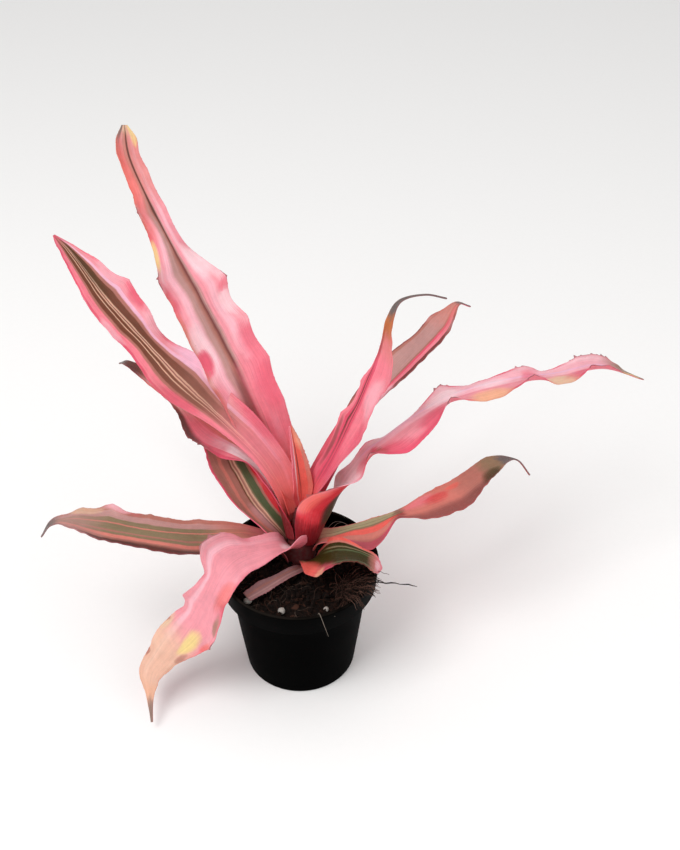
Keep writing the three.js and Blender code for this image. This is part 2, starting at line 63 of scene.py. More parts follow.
# The pot, as its solid has it
POT_HEIGHT = 63
POT_RIM_RADIUS = 38
POT_NECK_RADIUS = 32.8
POT_FOOT_RADIUS = 26.8
POT_WALL = 1.1
POT_FLOOR = 1.5
POT_COLLAR = 12.5  # height of the wide part under the rim
POT_NECK = POT_HEIGHT - POT_COLLAR
LEDGE_FOOT, LEDGE_TOP = 0.7, 2  # inner ledge, from the neck up
COLLAR_WALL = 2.3  # from the rim's outer edge to the inner face over the ledge
POT_SIDES = 128
DRAIN_HOLES = 6
DRAIN_RADIUS = 3.2
DRAIN_CIRCLE = 18
DRAIN_LAND = 6  # flat ring of the floor on either side of the holes' circle

# The growing mix and the stem in it
CLEARANCE = 0.35  # between the mix and the pot
SOIL_LEVEL = 53.5
SOIL_HUMP = 2  # how far it rises towards the stem
HUMP_SPREAD = 300
SOIL_LUMP = 0.8  # height of its bark lumps
STEM_FOOT = (1, 10)
STEM_LEAN = math.radians(8)
STEM_PROFILE = [(6.5, -16), (7.6, 0), (7.6, 4), (2.2, 29), (0.6, 30)]  # radii, with heights
STEM_RINGS = 40

# The blades' fine shape
ARC_SAMPLES = 40  # places between two midrib points where its length is measured
NEARBY = (-0.07, -0.035, 0, 0.035, 0.07)  # shares of the length that a margin is compared over
RIBS, RIB_HEIGHT = 7, 0.08
GROOVE_DEPTH, GROOVE_REACH = 0.2, 0.07  # over the midrib; its reach is a share of half the width
RUFFLE_START = (0.34, 0.5)  # shares of the length where small waves set in and are full
TOOTH_ROWS = 4  # rows of points from one tooth to the next
SPINE_CREST = (1.6, 3.2)  # heights of a wave from the first to the full size of its spines
FULL_CREST = 3  # height of a wave that the paint takes as a full crest

# Photograph's camera: 403 mm in front and 453 mm above, looking 37.5 degrees down
CAMERA_PLACE = (0, -0.4035, 0.4527)
CAMERA_PITCH = math.radians(37.53)
CAMERA_YAW = math.radians(2.78)
CAMERA_LENS = 50
CAMERA_SENSOR = 36


def rgb(code):
    """A screen colour such as "f38c98" as the linear colour that Blender holds."""
    parts = [int(code[i : i + 2], 16) / 255 for i in (0, 2, 4)]
    return tuple(c / 12.92 if c <= 0.04045 else ((c + 0.055) / 1.055) ** 2.4 for c in parts)


def colour_property(name, description, code):
    return FloatVectorProperty(
        name=name, description=description, subtype="COLOR", size=3, min=0, max=1, default=rgb(code)
    )


def length_property(name, description, default):
    return FloatProperty(name=name, description=description, unit="LENGTH", default=default)


def count_property(name, description, default):
    return IntProperty(name=name, description=description, min=0, default=default)


class LeafColours(bpy.types.PropertyGroup):
    """The colours that the leaves are striped and washed with."""

    pink: colour_property("Pink", "Main colour of the blades", "f0808f")
    pale: colour_property("Pale pink", "Lightest pink, on blades in full light", "f5b4bf")
    # Lavender is partly the blades' own pale stripes and partly a painted highlight on the crests
    # of the waves
    lavender: colour_property("Lavender", "Bloom on the crests of the waves", "f0b9cf")
    shell: colour_property("Shell pink", "Blades where they are evenly lit", "ee97a2")
    # Rose is the blades' own deep pink in bands and washes, and also painted shade in troughs and
    # by folds
    rose: colour_property("Rose", "Deep pink of folds and margins", "df566f")
    coral: colour_property("Coral", "Warm red of the sheaths", "ea6459")
    red: colour_property("Red", "Red inside the crown", "d8323c")
    # Crimson washes at the leaf bases are partly their own dark red and partly painted shade deep
    # in the crown
    crimson: colour_property("Crimson", "Darkest red, deep in the crown", "7d0f1a")
    salmon: colour_property("Salmon", "Dull pink lines between the bands", "d07d70")
    cream: colour_property("Cream", "Fine pale lines beside the midrib", "e4ba9e")
    brown: colour_property("Brown", "Broad bands on the pink leaves", "6e3f2c")
    maroon: colour_property("Maroon", "Midrib stripe", "783f3c")
    umber: colour_property("Umber", "Band where it fades to the base", "ab7164")
    olive: colour_property("Olive", "Band on the side leaves", "857559")
    green: colour_property("Green", "Green band near the crown", "55603f")
    moss: colour_property("Moss", "Dark green leaf", "35300c")
    sage: colour_property("Sage", "Pale green upper face", "a89f7b")
    grey: colour_property("Grey", "Dry ends and threads", "6d625f")
    mauve: colour_property("Mauve", "Withered leaf", "9c7272")
    yellow: colour_property("Yellow", "Patch where a leaf ages", "ecd08a")
    peach: colour_property("Peach", "Ageing ends and scallop edges", "efb08e")
    rust: colour_property("Rust", "Brown necks under the threads", "b4682f")
    # Painted highlight: this near-white pink stands for light catching wave crests and lips, in
    # patches, bands and on the crests
    highlight_pink: colour_property("Blush", "Almost white skin where a wave catches the light", "f9d9de")
    taupe: colour_property("Taupe", "Greyish band beside the midrib", "b88d88")
    sand: colour_property("Sand", "Where the drooping leaf fades", "e3bf9f")
    chestnut: colour_property("Chestnut", "Dark band on the long leaf's sheath", "54302a")


class LeafSizes(bpy.types.PropertyGroup):
    """The sizes of the leaves' fine shape."""

    thickness: length_property("Blade thickness", "At the midrib; margins have half", 0.00085)
    station: length_property("Station", "Distance between rows of points along a leaf", 0.0008)
    columns: IntProperty(
        name="Columns", description="Faces from margin to margin", min=8, default=22
    )
    tooth: length_property("Tooth", "Height of the small teeth on the margins", 0.00014)
    spine: length_property("Spine", "Height of the spine on a wave's crest", 0.0013)
    ruffle: length_property("Ruffle", "Height of the small waves between large ones", 0.0003)


class MixLook(bpy.types.PropertyGroup):
    """The growing mix, its bark, fibres, perlite and roots."""

    chips: count_property("Bark chips", "Pieces of bark on top of the mix", 900)
    fibres: count_property("Fibres", "Coir fibres on top of the mix", 150)
    strands: count_property("Root strands", "Strands in the tuft of dry roots", 420)
    bark: colour_property("Bark", "Lighter bark chips", "40261c")
    peat: colour_property("Peat", "Wet dark crumb", "100906")
    coir: colour_property("Coir", "Coir fibres", "40261c")
    straw: colour_property("Straw", "Pale fibres and root hairs", "7f756b")
    roots: colour_property("Roots", "Dry roots", "76564a")
    perlite: colour_property("Perlite", "White grains", "a8a19a")


class PotLook(bpy.types.PropertyGroup):
    """The pot's plastic."""

    plastic: colour_property("Plastic", "Black plastic", "020202")
    # Real dried mix on the pot, and also the painted highlight along the top of the rim
    dust_and_rim_highlight: colour_property("Dust", "Dried splashes of mix and the worn rim", "1c1815")
    roughness: FloatProperty(
        name="Roughness",
        description="Of the clean plastic",
        subtype="FACTOR",
        min=0,
        max=1,
        default=0.42,
    )


class StageLook(bpy.types.PropertyGroup):
    """The floor and the lights."""

    floor: colour_property("Floor", "Pale floor", "fbfaf9")
    key: FloatProperty(
        name="Key light", description="Soft light from above the left", unit="POWER", default=8.6
    )
    fill: FloatProperty(
        name="Fill light", description="Soft light from the right", unit="POWER", default=1.6
    )
    sky: FloatProperty(
        name="Surroundings", description="Strength of the pale surroundings", default=0.66
    )


class EarthStar(bpy.types.PropertyGroup):
    """Everything that a user of the part would change."""

    colours: PointerProperty(type=LeafColours)
    leaves: PointerProperty(type=LeafSizes)
    mix: PointerProperty(type=MixLook)
    pot: PointerProperty(type=PotLook)
    stage: PointerProperty(type=StageLook)


# Materials


class Value:
    """A socket in a material, so that sums on it are written as they read."""

    def __init__(self, paint, socket):
        self.paint = paint
        self.socket = socket

    def other(self, output):
        return Value(self.paint, self.socket.node.outputs[output])

    def math(self, operation, *others):
        values = dict(enumerate((self, *others)))
        return self.paint.node("ShaderNodeMath", {"operation": operation}, values)

    def __add__(self, other):
        return self.math("ADD", other)

    def __radd__(self, other):
        return self.math("ADD", other)

    def __sub__(self, other):
        return self.math("SUBTRACT", other)

    def __rsub__(self, other):
        return (self * -1).math("ADD", other)

    def __mul__(self, other):
        return self.math("MULTIPLY", other)

    def __truediv__(self, other):
        return self.math("DIVIDE", other)

    def __abs__(self):
        return self.math("ABSOLUTE")

    def rise(self, start, end, top=1.0):
        """0 up to start, easing to top at end; start may lie past end."""
        low, high = min(start, end), max(start, end)
        ends = (0.0, top) if start < end else (top, 0.0)
        return self.paint.node(
            "ShaderNodeMapRange",
            {"interpolation_type": "SMOOTHSTEP"},
            {0: self, 1: low, 2: high, 3: ends[0], 4: ends[1]},
        )


class Paint:
    """A material and the nodes in it."""

    def __init__(self, name):
        self.material = bpy.data.materials.new(name)
        self.material.use_nodes = True
        self.tree = self.material.node_tree
        self.tree.nodes.clear()

    def node(self, kind, settings=None, values=None, output=0):
        """Adds a node: its settings first, then the values or links of its sockets."""
        made = self.tree.nodes.new(kind)
        for name, setting in (settings or {}).items():
            if name == "stops":
                self.set_stops(made.color_ramp, setting)
            else:
                setattr(made, name, setting)
        for key, value in (values or {}).items():
            if isinstance(value, Value):
                self.tree.links.new(value.socket, made.inputs[key])
            else:
                made.inputs[key].default_value = value
        return Value(self, made.outputs[output])

    @staticmethod
    def set_stops(ramp, stops):
        while len(ramp.elements) < len(stops):
            ramp.elements.new(0.5)
        for element, (position, colour) in zip(ramp.elements, stops):
            element.position = position
            element.color = (*colour, 1)

    def point(self, x, y, z):
        return self.node("ShaderNodeCombineXYZ", values={0: x, 1: y, 2: z})

    def place(self):
        """Where on the piece a spot lies, in its own coordinates."""
        return self.node("ShaderNodeTexCoord", output=3)

    def attribute(self, name):
        """A number that the mesh holds for each of its points."""
        return self.node("ShaderNodeAttribute", {"attribute_name": name}, output=2)

    def noise(self, vector, scale=1.0, detail=2.0, roughness=0.5):
        values = {"Vector": vector, "Scale": scale, "Detail": detail, "Roughness": roughness}
        return self.node("ShaderNodeTexNoise", values=values)

    def mix(self, factor, a, b):
        """From colour a to colour b."""
        a, b = (c if isinstance(c, Value) else (*c, 1) for c in (a, b))
        return self.node("ShaderNodeMix", {"data_type": "RGBA"}, {0: factor, 6: a, 7: b}, output=2)

    def scaled(self, colour, amount):
        return self.node("ShaderNodeVectorMath", {"operation": "SCALE"}, {0: colour, 3: amount})

    def bump(self, height, strength, distance):
        values = {"Height": height, "Strength": strength, "Distance": distance}
        return self.node("ShaderNodeBump", values=values)

    def surface(self, **values):
        """The material's shader, with its constants and links by socket name."""
        named = {name.replace("_", " "): value for name, value in values.items()}
        shader = self.node("ShaderNodeBsdfPrincipled", values=named)
        end = self.tree.nodes.new("ShaderNodeOutputMaterial")
        self.tree.links.new(shader.socket, end.inputs[0])
        return self.material


def star():
    return bpy.context.scene.earth_star


def tint(name):
    """A leaf colour by its name."""
    return getattr(star().colours, name)


# Leaves
#
# The shape is that of the solids: midrib points from the stem outwards; half widths to the left and
# to the right, and how far each margin rises, at even shares of the length; roll and curl of the
# blade, in degrees, at even shares too; and the share of the length that is a dry thread. Only
# leaf_level_left and leaf_low_back_left are a little narrower at the left, where leaf_front_droop
# hides them.
#
# The rest is the look: bands of colour from the left margin to the right one, each with the share
# of the width where it ends; washes, each with the shares of the length where it sets in and where
# it is full, and its strength; patches, each at a share along and across, with its reach both ways
# and its strength; how strong the painted highlight on the crests of the waves is; and what differs
# on the underside, where pale scurf comes over the colours. Patches of the near-white pink are
# painted highlights, and rose patches by folds and notches are painted shade.
LEAVES = {
    "leaf_right_long": dict(
        midrib=[
            (8.6, 12.1, 65), (12, 12.7, 72), (15.8, 13.8, 80), (19, 15, 88), (24, 17, 97),
            (31, 20, 107), (41, 23, 115), (52, 29, 120), (70, 38, 125), (88, 45, 127),
            (108, 51, 127), (129, 58, 124.5), (152, 69, 120.5), (178, 80, 104.5),
        ],
        left=[8, 9, 11, 9, 4, 5, 3.5, 3.5, 5, 7.5, 6.5, 6, 6.5, 7, 6, 6.5, 7, 7, 6, 4.5, 0.8],
        right=[16, 21, 21, 11, 9, 7, 13, 11, 9, 6, 7, 8.5, 8, 5.5, 7, 6.5, 5, 5, 5, 4.5, 0.8],
        rise_left=[0, 0, 0, 0, 0, 1, -3.5, -3, -1, 4.5, -1, -1, 1, 3.5, -0.5, 1, 3.5, 3.5, 2, 0, 0],
        rise_right=[0, 0, 3, 3, -1, 4, -4, -4.5, -2, 4.5, -1.5, -3, 0, 4, -2, -2, 3, 2, 0, 0, 0],
        roll=[0, -32, 5, 0, 0, -5, -5, -10, -10, -10, -10],
        curl=[62, 26, 15, 15, 15, 15, 15, 15, 15, 15],
        edge=0.03,
        bands=[
            ("rose", 0.03), ("pale", 0.3), ("lavender", 0.4), ("pale", 0.6), ("shell", 0.94),
            ("rose", 1),
        ],
        washes=[("coral", 0.1, 0.0, 0.9), ("umber", 0.85, 0.9, 0.5), ("olive", 0.88, 0.94, 0.8)],
        patches=[
            ("highlight_pink", 0.165, 0.4, 0.07, 0.8, 0.9), ("pink", 0.22, 0.8, 0.03, 0.3, 0.6),
            ("rose", 0.255, 0.7, 0.015, 0.3, 0.8), ("umber", 0.27, 0.8, 0.01, 0.2, 0.9),
            ("rose", 0.29, 0.85, 0.035, 0.2, 0.8), ("highlight_pink", 0.29, 0.2, 0.05, 0.2, 0.7),
            ("rose", 0.4, 0.85, 0.05, 0.25, 0.8), ("highlight_pink", 0.45, 0.35, 0.05, 0.3, 0.9),
            ("peach", 0.54, 0.95, 0.06, 0.3, 0.95), ("highlight_pink", 0.56, 0.4, 0.05, 0.25, 0.6),
            ("rose", 0.66, 0.5, 0.03, 0.5, 0.6), ("sand", 0.72, 0.9, 0.05, 0.3, 0.9),
            ("rose", 0.79, 0.8, 0.06, 0.3, 0.6), ("yellow", 0.93, 0.9, 0.04, 0.3, 0.8),
        ],
        under=dict(
            bands=[
                ("pink", 0.3), ("rose", 0.42), ("chestnut", 0.56), ("moss", 0.63),
                ("chestnut", 0.7), ("red", 1),
            ],
            washes=[("crimson", 0.07, 0.035, 0.95), ("pink", 0.24, 0.3, 0.9)],
            patches=[
                ("coral", 0.11, 0.95, 0.035, 0.14, 0.8), ("green", 0.1, 0.52, 0.06, 0.06, 0.35),
            ],
            scurf=0.1,
        ),
    ),
    "leaf_front_droop": dict(
        midrib=[
            (-3.3, 5.6, 66), (-6.6, 2.4, 70), (-12, -1.2, 72.7), (-19.9, -5.2, 75),
            (-27.6, -9.6, 77), (-33.8, -15, 76), (-39.1, -20.4, 69.5), (-43.3, -22.2, 59),
            (-48.7, -22.5, 48), (-55.1, -23.3, 36.5), (-62.9, -25.5, 26.5), (-69.8, -29.2, 19.5),
            (-71.7, -35.3, 12), (-70.9, -45.5, 5),
        ],
        left=[
            13, 14, 10, 9, 10, 10.5, 11, 10.5, 10.5, 8.5, 14, 17.5, 13.5, 11, 8, 5, 5.5, 5.5, 3,
            1.5, 0.6,
        ],
        right=[
            7, 8, 7.5, 6.5, 6.5, 12, 15, 6.5, 7, 9.5, 11.5, 9.5, 11.5, 13, 14, 13, 10.5, 8, 3, 1.2,
            0.6,
        ],
        roll=[0, -12, -36, -38, -25, -10, -5, 0, 0, 0, 0],
        curl=[60, 20, 8, 8, 8, 8, 10, 10, 15, 20],
        thread=0.12,
        edge=0.03,
        bands=[("pink", 0.05), ("shell", 0.72), ("pale", 0.84), ("shell", 1)],
        washes=[
            ("shell", 0.34, 0.14, 0.7), ("sand", 0.58, 0.74, 0.75), ("peach", 0.84, 0.9, 0.6),
            ("grey", 0.9, 0.95, 0.8),
        ],
        patches=[
            ("yellow", 0.64, 0.3, 0.08, 0.2, 0.95), ("coral", 0.4, 0.12, 0.07, 0.2, 0.6),
            ("coral", 0.58, 0.02, 0.05, 0.1, 0.7), ("olive", 0.5, 0.08, 0.03, 0.08, 0.7),
            ("umber", 0.71, 0.1, 0.04, 0.12, 0.7), ("umber", 0.8, 0.98, 0.012, 0.06, 0.9),
            ("highlight_pink", 0.02, 0.3, 0.05, 0.4, 0.8), ("sand", 0.66, 0.98, 0.06, 0.1, 0.8),
            ("umber", 0.645, 1, 0.02, 0.05, 0.8),
        ],
        crest_highlight=0.35,
        under=dict(bands=[("pink", 1)], washes=[], scurf=0.12),
    ),
    "leaf_heart": dict(
        midrib=[(2.8, 17, 81), (1.8, 19.3, 93), (0, 23, 110), (-2, 27, 122)],
        left=[3, 5, 4, 2.5, 0.8],
        right=[3, 6.5, 6, 4, 0.8],
        curl=[60, 45],
        bands=[
            ("pink", 0.25), ("highlight_pink", 0.33), ("coral", 0.46), ("maroon", 0.53), ("coral", 0.8),
            ("salmon", 1),
        ],
        washes=[("coral", 0.55, 0.2, 0.6), ("red", 0.25, 0.0, 0.7)],
        patches=[("peach", 0.85, 0.8, 0.15, 0.3, 0.5)],
    ),
    "leaf_front_right": dict(
        midrib=[
            (6.9, 4.3, 58.3), (9.8, 1.3, 64), (14, -3, 70.5), (20, -6.5, 75), (28, -9.5, 75.5),
            (35, -10.5, 71.5), (38.5, -9.5, 64.5),
        ],
        left=[6, 7, 8, 8.5, 8, 6.5, 4.5, 3, 3, 2, 0.8],
        right=[7, 10, 12, 15, 15, 15, 12.5, 9, 9.5, 6, 0.8],
        rise_left=[0, 0],
        rise_right=[0, 0, -2, -4, -6, -3, 0, 0, 0, 0, 0],
        curl=[25, 20],
        bands=[
            ("coral", 0.12), ("salmon", 0.2), ("moss", 0.36), ("olive", 0.41), ("moss", 0.5),
            ("green", 0.54), ("moss", 0.88), ("green", 0.94), ("moss", 1),
        ],
        washes=[("coral", 0.1, 0.02, 0.6), ("salmon", 0.74, 0.82, 0.6), ("pink", 0.8, 0.9, 0.95)],
        patches=[
            ("coral", 0.26, 1, 0.16, 0.26, 0.95), ("peach", 0.42, 1, 0.05, 0.12, 0.7),
            ("moss", 0.16, 0.5, 0.14, 0.25, 0.8), ("highlight_pink", 0.9, 0.6, 0.06, 0.3, 0.5),
        ],
        crest_highlight=0.1,
        under=dict(
            bands=[("coral", 1)],
            washes=[("rose", 0.5, 0.9, 0.6)],
            patches=[("crimson", 0.05, 0.7, 0.2, 0.4, 0.7)],
            scurf=0.2,
        ),
    ),
    "leaf_broad_left": dict(
        midrib=[
            (-3.3, 15.7, 73), (-4.6, 17.2, 80), (-6.5, 18.4, 89.5), (-16, 25, 104.7),
            (-32, 36.5, 118), (-52, 50, 133), (-67, 62, 145), (-87, 80, 160), (-106, 106, 172),
            (-115, 118, 174),
        ],
        left=[5, 4.5, 4, 3.5, 3.5, 4, 5, 6.5, 9, 12, 13, 11, 9.5, 11, 10.5, 10, 8, 7, 6, 4, 0.6],
        right=[
            5, 6.5, 9, 12.5, 13, 14.5, 13, 11.5, 13, 16, 13, 9.5, 9, 12, 13, 14.5, 10.5, 8.5, 5,
            2.5, 0.6,
        ],
        roll=[0, -22, -42, -36, -28, -20, -15, -12, -10, -10, -10],
        curl=[32, 16, 12, 14, 25],
        bands=[
            ("rose", 0.05), ("pink", 0.2), ("umber", 0.26), ("brown", 0.37), ("cream", 0.385),
            ("brown", 0.45), ("cream", 0.475), ("maroon", 0.505), ("cream", 0.525), ("brown", 0.66),
            ("umber", 0.73), ("lavender", 0.8), ("shell", 0.92), ("pink", 1),
        ],
        washes=[
            ("umber", 0.6, 0.36, 0.4), ("pink", 0.4, 0.22, 0.7), ("coral", 0.22, 0.06, 0.75),
            ("rose", 0.93, 1, 0.7),
        ],
        patches=[
            ("moss", 0.85, 0.56, 0.12, 0.12, 0.55), ("pink", 0.33, 0.02, 0.13, 0.2, 0.8),
            ("rose", 0.42, 0.12, 0.06, 0.14, 0.6), ("lavender", 0.47, 0.92, 0.08, 0.2, 0.95),
            ("highlight_pink", 0.43, 0.9, 0.03, 0.12, 0.8), ("pale", 0.62, 0.95, 0.05, 0.2, 0.8),
            ("pale", 0.8, 0.95, 0.06, 0.2, 0.7), ("pale", 0.66, 0.06, 0.05, 0.1, 0.7),
            ("rose", 0.26, 0.95, 0.08, 0.2, 0.6), ("rose", 0.7, 0.95, 0.05, 0.15, 0.7),
        ],
        under=dict(washes=[("coral", 0.5, 0.3, 0.7), ("crimson", 0.2, 0.05, 0.8)], scurf=0.3),
    ),
    "leaf_right_up": dict(
        midrib=[
            (5.3, 14.5, 75), (6.5, 15.5, 82), (9, 17, 91), (17, 19, 107), (26, 22, 127),
            (33, 25, 144), (39, 30, 161), (43, 36, 173), (48, 42, 178), (60, 47, 178),
            (70, 50, 174),
        ],
        left=[5, 5, 5.5, 6, 6.5, 6, 6, 7, 8, 5, 4.5, 4.5, 2, 1, 1, 1.5, 1.2, 0.8, 0.6, 0.6, 0.6],
        right=[
            6, 6.5, 7.5, 8, 9, 10, 11, 12.5, 15, 15.5, 10.5, 12.5, 18, 15.5, 7.5, 4, 2, 1, 0.6, 0.6,
            0.6,
        ],
        curl=[50, 22, 12, 20, 40],
        ruffle=0.3,
        thread=0.2,
        bands=[
            ("pink", 0.2), ("rose", 0.3), ("maroon", 0.38), ("rose", 0.44), ("maroon", 0.47),
            ("rose", 0.54), ("pink", 1),
        ],
        washes=[
            ("rose", 0.42, 0.22, 0.65), ("coral", 0.2, 0.08, 0.7), ("salmon", 0.62, 0.68, 0.5),
            ("rust", 0.68, 0.74, 0.9), ("grey", 0.75, 0.79, 1),
        ],
        patches=[
            ("pale", 0.52, 0.8, 0.08, 0.25, 0.7), ("maroon", 0.3, 0.12, 0.12, 0.1, 0.7),
            ("rose", 0.38, 0.9, 0.08, 0.2, 0.7),
        ],
    ),
    "leaf_under_left": dict(
        midrib=[
            (-3.9, 15.9, 67), (-5, 17.8, 74), (-6.2, 20, 80), (-9.5, 25.5, 88.8), (-20, 37.5, 97),
            (-33, 46, 103.5), (-48, 55.5, 110), (-67, 67, 118), (-82, 83, 120.5), (-87, 92, 115),
        ],
        left=[12, 12, 10, 8, 7, 9, 12, 12.5, 14, 21, 21, 15, 8, 3.5, 2, 2, 1.5, 1.5, 2, 1, 0.6],
        right=[8, 8, 9, 9, 10, 10, 10, 9, 7, 3, 0.6],
        curl=[60, 22, 12, 14, 30],
        thread=0.06,
        bands=[
            ("rose", 0.06), ("pink", 0.16), ("highlight_pink", 0.34), ("pale", 0.4), ("salmon", 0.47),
            ("taupe", 0.52), ("umber", 0.6), ("salmon", 1),
        ],
        washes=[
            ("red", 0.17, 0.04, 0.8), ("crimson", 0.06, 0, 0.7), ("salmon", 0.4, 0.55, 0.7),
            ("chestnut", 0.76, 0.86, 0.9), ("grey", 0.91, 0.96, 0.95),
        ],
        patches=[
            ("rose", 0.5, 0.2, 0.12, 0.3, 0.8), ("chestnut", 0.56, 0.03, 0.14, 0.18, 0.95),
            ("coral", 0.36, 0.6, 0.1, 0.2, 0.5),
        ],
        under=dict(
            bands=[("maroon", 0.4), ("rose", 1)],
            washes=[("crimson", 0.3, 0.1, 0.8), ("grey", 0.86, 0.94, 0.8)],
            scurf=0.15,
        ),
    ),
    "leaf_low_back_left": dict(
        midrib=[
            (-5.3, 14.9, 63), (-8, 15.5, 68), (-13, 17.5, 75), (-20, 25, 81), (-28, 38, 89),
            (-37, 54, 96), (-47, 70, 101), (-58, 86, 104),
        ],
        left=[
            5, 8.4, 12.2, 15.3, 16.6, 16.4, 15.5, 15.5, 15, 14.5, 13, 11.5, 10.5, 10, 9, 8, 7, 6, 4,
            2.5, 0.8,
        ],
        right=[7, 8, 9.5, 9, 9, 9.5, 10, 10, 9.5, 10, 10, 9, 8.5, 8, 7.5, 7, 6, 5, 4, 2.5, 0.8],
        curl=[40, 15, 16, 25],
        bands=[
            ("rose", 0.04), ("umber", 0.2), ("salmon", 0.27), ("umber", 0.38), ("brown", 0.41),
            ("cream", 0.43), ("umber", 0.47), ("cream", 0.5), ("olive", 0.54), ("green", 0.72),
            ("umber", 0.78), ("red", 1),
        ],
        washes=[("crimson", 0.1, 0, 0.5), ("maroon", 0.5, 0.9, 0.5)],
        patches=[("pale", 0.15, 0.35, 0.1, 0.1, 0.3)],
    ),
    "leaf_right_low": dict(
        midrib=[
            (8.6, 11, 62), (10.2, 10.8, 65.5), (17, 11.5, 66.8), (25, 12.5, 69), (35, 11.5, 73),
            (46, 11, 79), (63, 14, 85), (80, 20, 89), (95, 30, 92), (101, 34, 92), (108, 37, 89),
            (114, 34, 82),
        ],
        left=[
            6, 5.5, 4.5, 3.5, 3.5, 4, 3, 2.5, 3, 4.5, 5.5, 6, 6, 6.5, 6.5, 6.5, 6, 3, 0.6, 0.6, 0.6,
        ],
        right=[
            5, 6.5, 9, 12, 15, 17, 14, 4.5, 8, 13, 15.5, 16, 16, 11.5, 9, 7, 5, 2.5, 0.6, 0.6, 0.6,
        ],
        rise_left=[0, 0],
        rise_right=[0, 0, 0, -1, -3, -4.5, -3, 0, 0, -1, -1.5, -1.5, -1.5, -1, 0, 0, 0, 0, 0, 0, 0],
        curl=[30, 22, 25, 30],
        thread=0.18,
        bands=[
            ("salmon", 0.05), ("sage", 0.3), ("green", 0.33), ("sage", 0.5), ("olive", 0.54),
            ("coral", 0.68), ("salmon", 0.86), ("rose", 1),
        ],
        washes=[
            ("salmon", 0.14, 0.02, 0.7), ("maroon", 0.33, 0.36, 0.7), ("salmon", 0.37, 0.4, 0.95),
            ("umber", 0.56, 0.68, 0.8), ("olive", 0.71, 0.78, 0.85), ("grey", 0.81, 0.84, 1),
        ],
        patches=[
            ("pink", 0.45, 0.3, 0.08, 0.3, 0.6), ("maroon", 0.56, 0.98, 0.25, 0.3, 0.8),
            ("moss", 0.75, 0.9, 0.06, 0.4, 0.8), ("red", 0.52, 0.45, 0.06, 0.2, 0.6),
            ("maroon", 0.24, 0.98, 0.1, 0.2, 0.6), ("coral", 0.6, 0.3, 0.04, 0.15, 0.6),
        ],
        under=dict(bands=[("coral", 1)], washes=[("maroon", 0.5, 0.8, 0.6)], scurf=0.2),
    ),
    "leaf_level_left": dict(
        midrib=[
            (-7.5, 10.5, 58), (-9, 10, 61), (-12.5, 9.5, 65), (-18, 9.5, 69), (-26, 8.5, 72.5),
            (-45, 3, 77), (-67, 0, 83), (-90, 4, 86), (-106, 6, 87), (-114, 8, 83), (-120, 10, 74),
        ],
        left=[
            7, 9, 10, 10.4, 12.1, 15, 16.6, 16.6, 16.5, 14, 12, 11.5, 12, 13, 12.5, 11, 7, 2.5, 1.2,
            0.8, 0.6,
        ],
        right=[
            7, 6.5, 5.5, 5.5, 6.5, 8, 9, 10, 9.5, 10, 10.5, 11, 10.5, 10.5, 12, 9, 7.5, 4, 3, 1.5,
            0.6,
        ],
        curl=[30, 12, 14, 30],
        thread=0.12,
        bands=[
            ("chestnut", 0.09), ("umber", 0.18), ("salmon", 0.27), ("olive", 0.34), ("umber", 0.38),
            ("olive", 0.56), ("salmon", 0.59), ("olive", 0.72), ("taupe", 0.88), ("umber", 1),
        ],
        washes=[
            ("salmon", 0.36, 0.2, 0.7), ("rose", 0.22, 0.1, 0.5), ("taupe", 0.66, 0.82, 0.6),
            ("grey", 0.86, 0.93, 1),
        ],
        patches=[
            ("chestnut", 0.5, 0.03, 0.3, 0.14, 0.8), ("pale", 0.68, 0.97, 0.05, 0.1, 0.7),
            ("sand", 0.78, 0.9, 0.06, 0.15, 0.6),
        ],
        crest_highlight=0.3,
        under=dict(
            bands=[("maroon", 0.5), ("salmon", 1)],
            washes=[("crimson", 0.4, 0.1, 0.5)],
            scurf=0.1,
        ),
    ),
    "leaf_right_behind": dict(
        midrib=[
            (5.2, 15.9, 71), (7, 18.5, 79), (10.5, 22.5, 88), (24, 34, 108), (38, 43, 124),
            (55, 53, 139), (70, 64, 149), (79, 74, 156), (86, 78, 152),
        ],
        left=[5, 6, 7.5, 8, 8, 8, 8, 8, 8.5, 9.5, 10, 11, 10.5, 10, 9, 8, 8, 7.5, 3.5, 1.2, 0.6],
        right=[6, 7, 7, 6.5, 6, 5.5, 5, 4.5, 4, 3, 1.5, 4, 5.5, 6.5, 7, 7, 6.5, 6.5, 3.5, 1.2, 0.6],
        curl=[35, 22, 20, 30],
        thread=0.08,
        bands=[
            ("maroon", 0.03), ("umber", 0.1), ("taupe", 0.56), ("umber", 0.63), ("rose", 0.7),
            ("pink", 0.86), ("maroon", 1),
        ],
        washes=[("rose", 0.48, 0.3, 0.85), ("salmon", 0.78, 0.92, 0.7), ("grey", 0.92, 0.95, 1)],
        patches=[("pale", 0.52, 0.85, 0.06, 0.2, 0.9), ("maroon", 0.72, 0.98, 0.2, 0.12, 0.7)],
        under=dict(bands=[("rose", 1)], washes=[("crimson", 0.3, 0.1, 0.6)], scurf=0.2),
    ),
    "leaf_tall_back": dict(
        midrib=[
            (-1.1, 16.8, 78), (-2.2, 18.7, 83), (-3.1, 21.2, 88), (-5, 27, 94.5), (-12, 37.5, 108),
            (-25, 51.5, 136), (-42, 68.5, 167.5), (-59, 88, 195), (-73, 114, 215),
            (-77, 135.5, 222.5),
        ],
        left=[
            4, 5.5, 8, 10.5, 13, 15, 14, 16.5, 14.5, 16, 15, 14, 18, 10.5, 7, 11, 5.5, 5.5, 6.5, 5,
            1.5,
        ],
        right=[
            4, 5.5, 8, 11, 12.5, 14.5, 13.5, 16, 14, 15.5, 12.5, 15.5, 10.5, 6.5, 5.5, 6, 5.5, 6, 5,
            5, 1.5,
        ],
        roll=[0, -20, -10, 0, 0],
        curl=[35, 16, 14, 14, 18],
        edge=0.035,
        bands=[
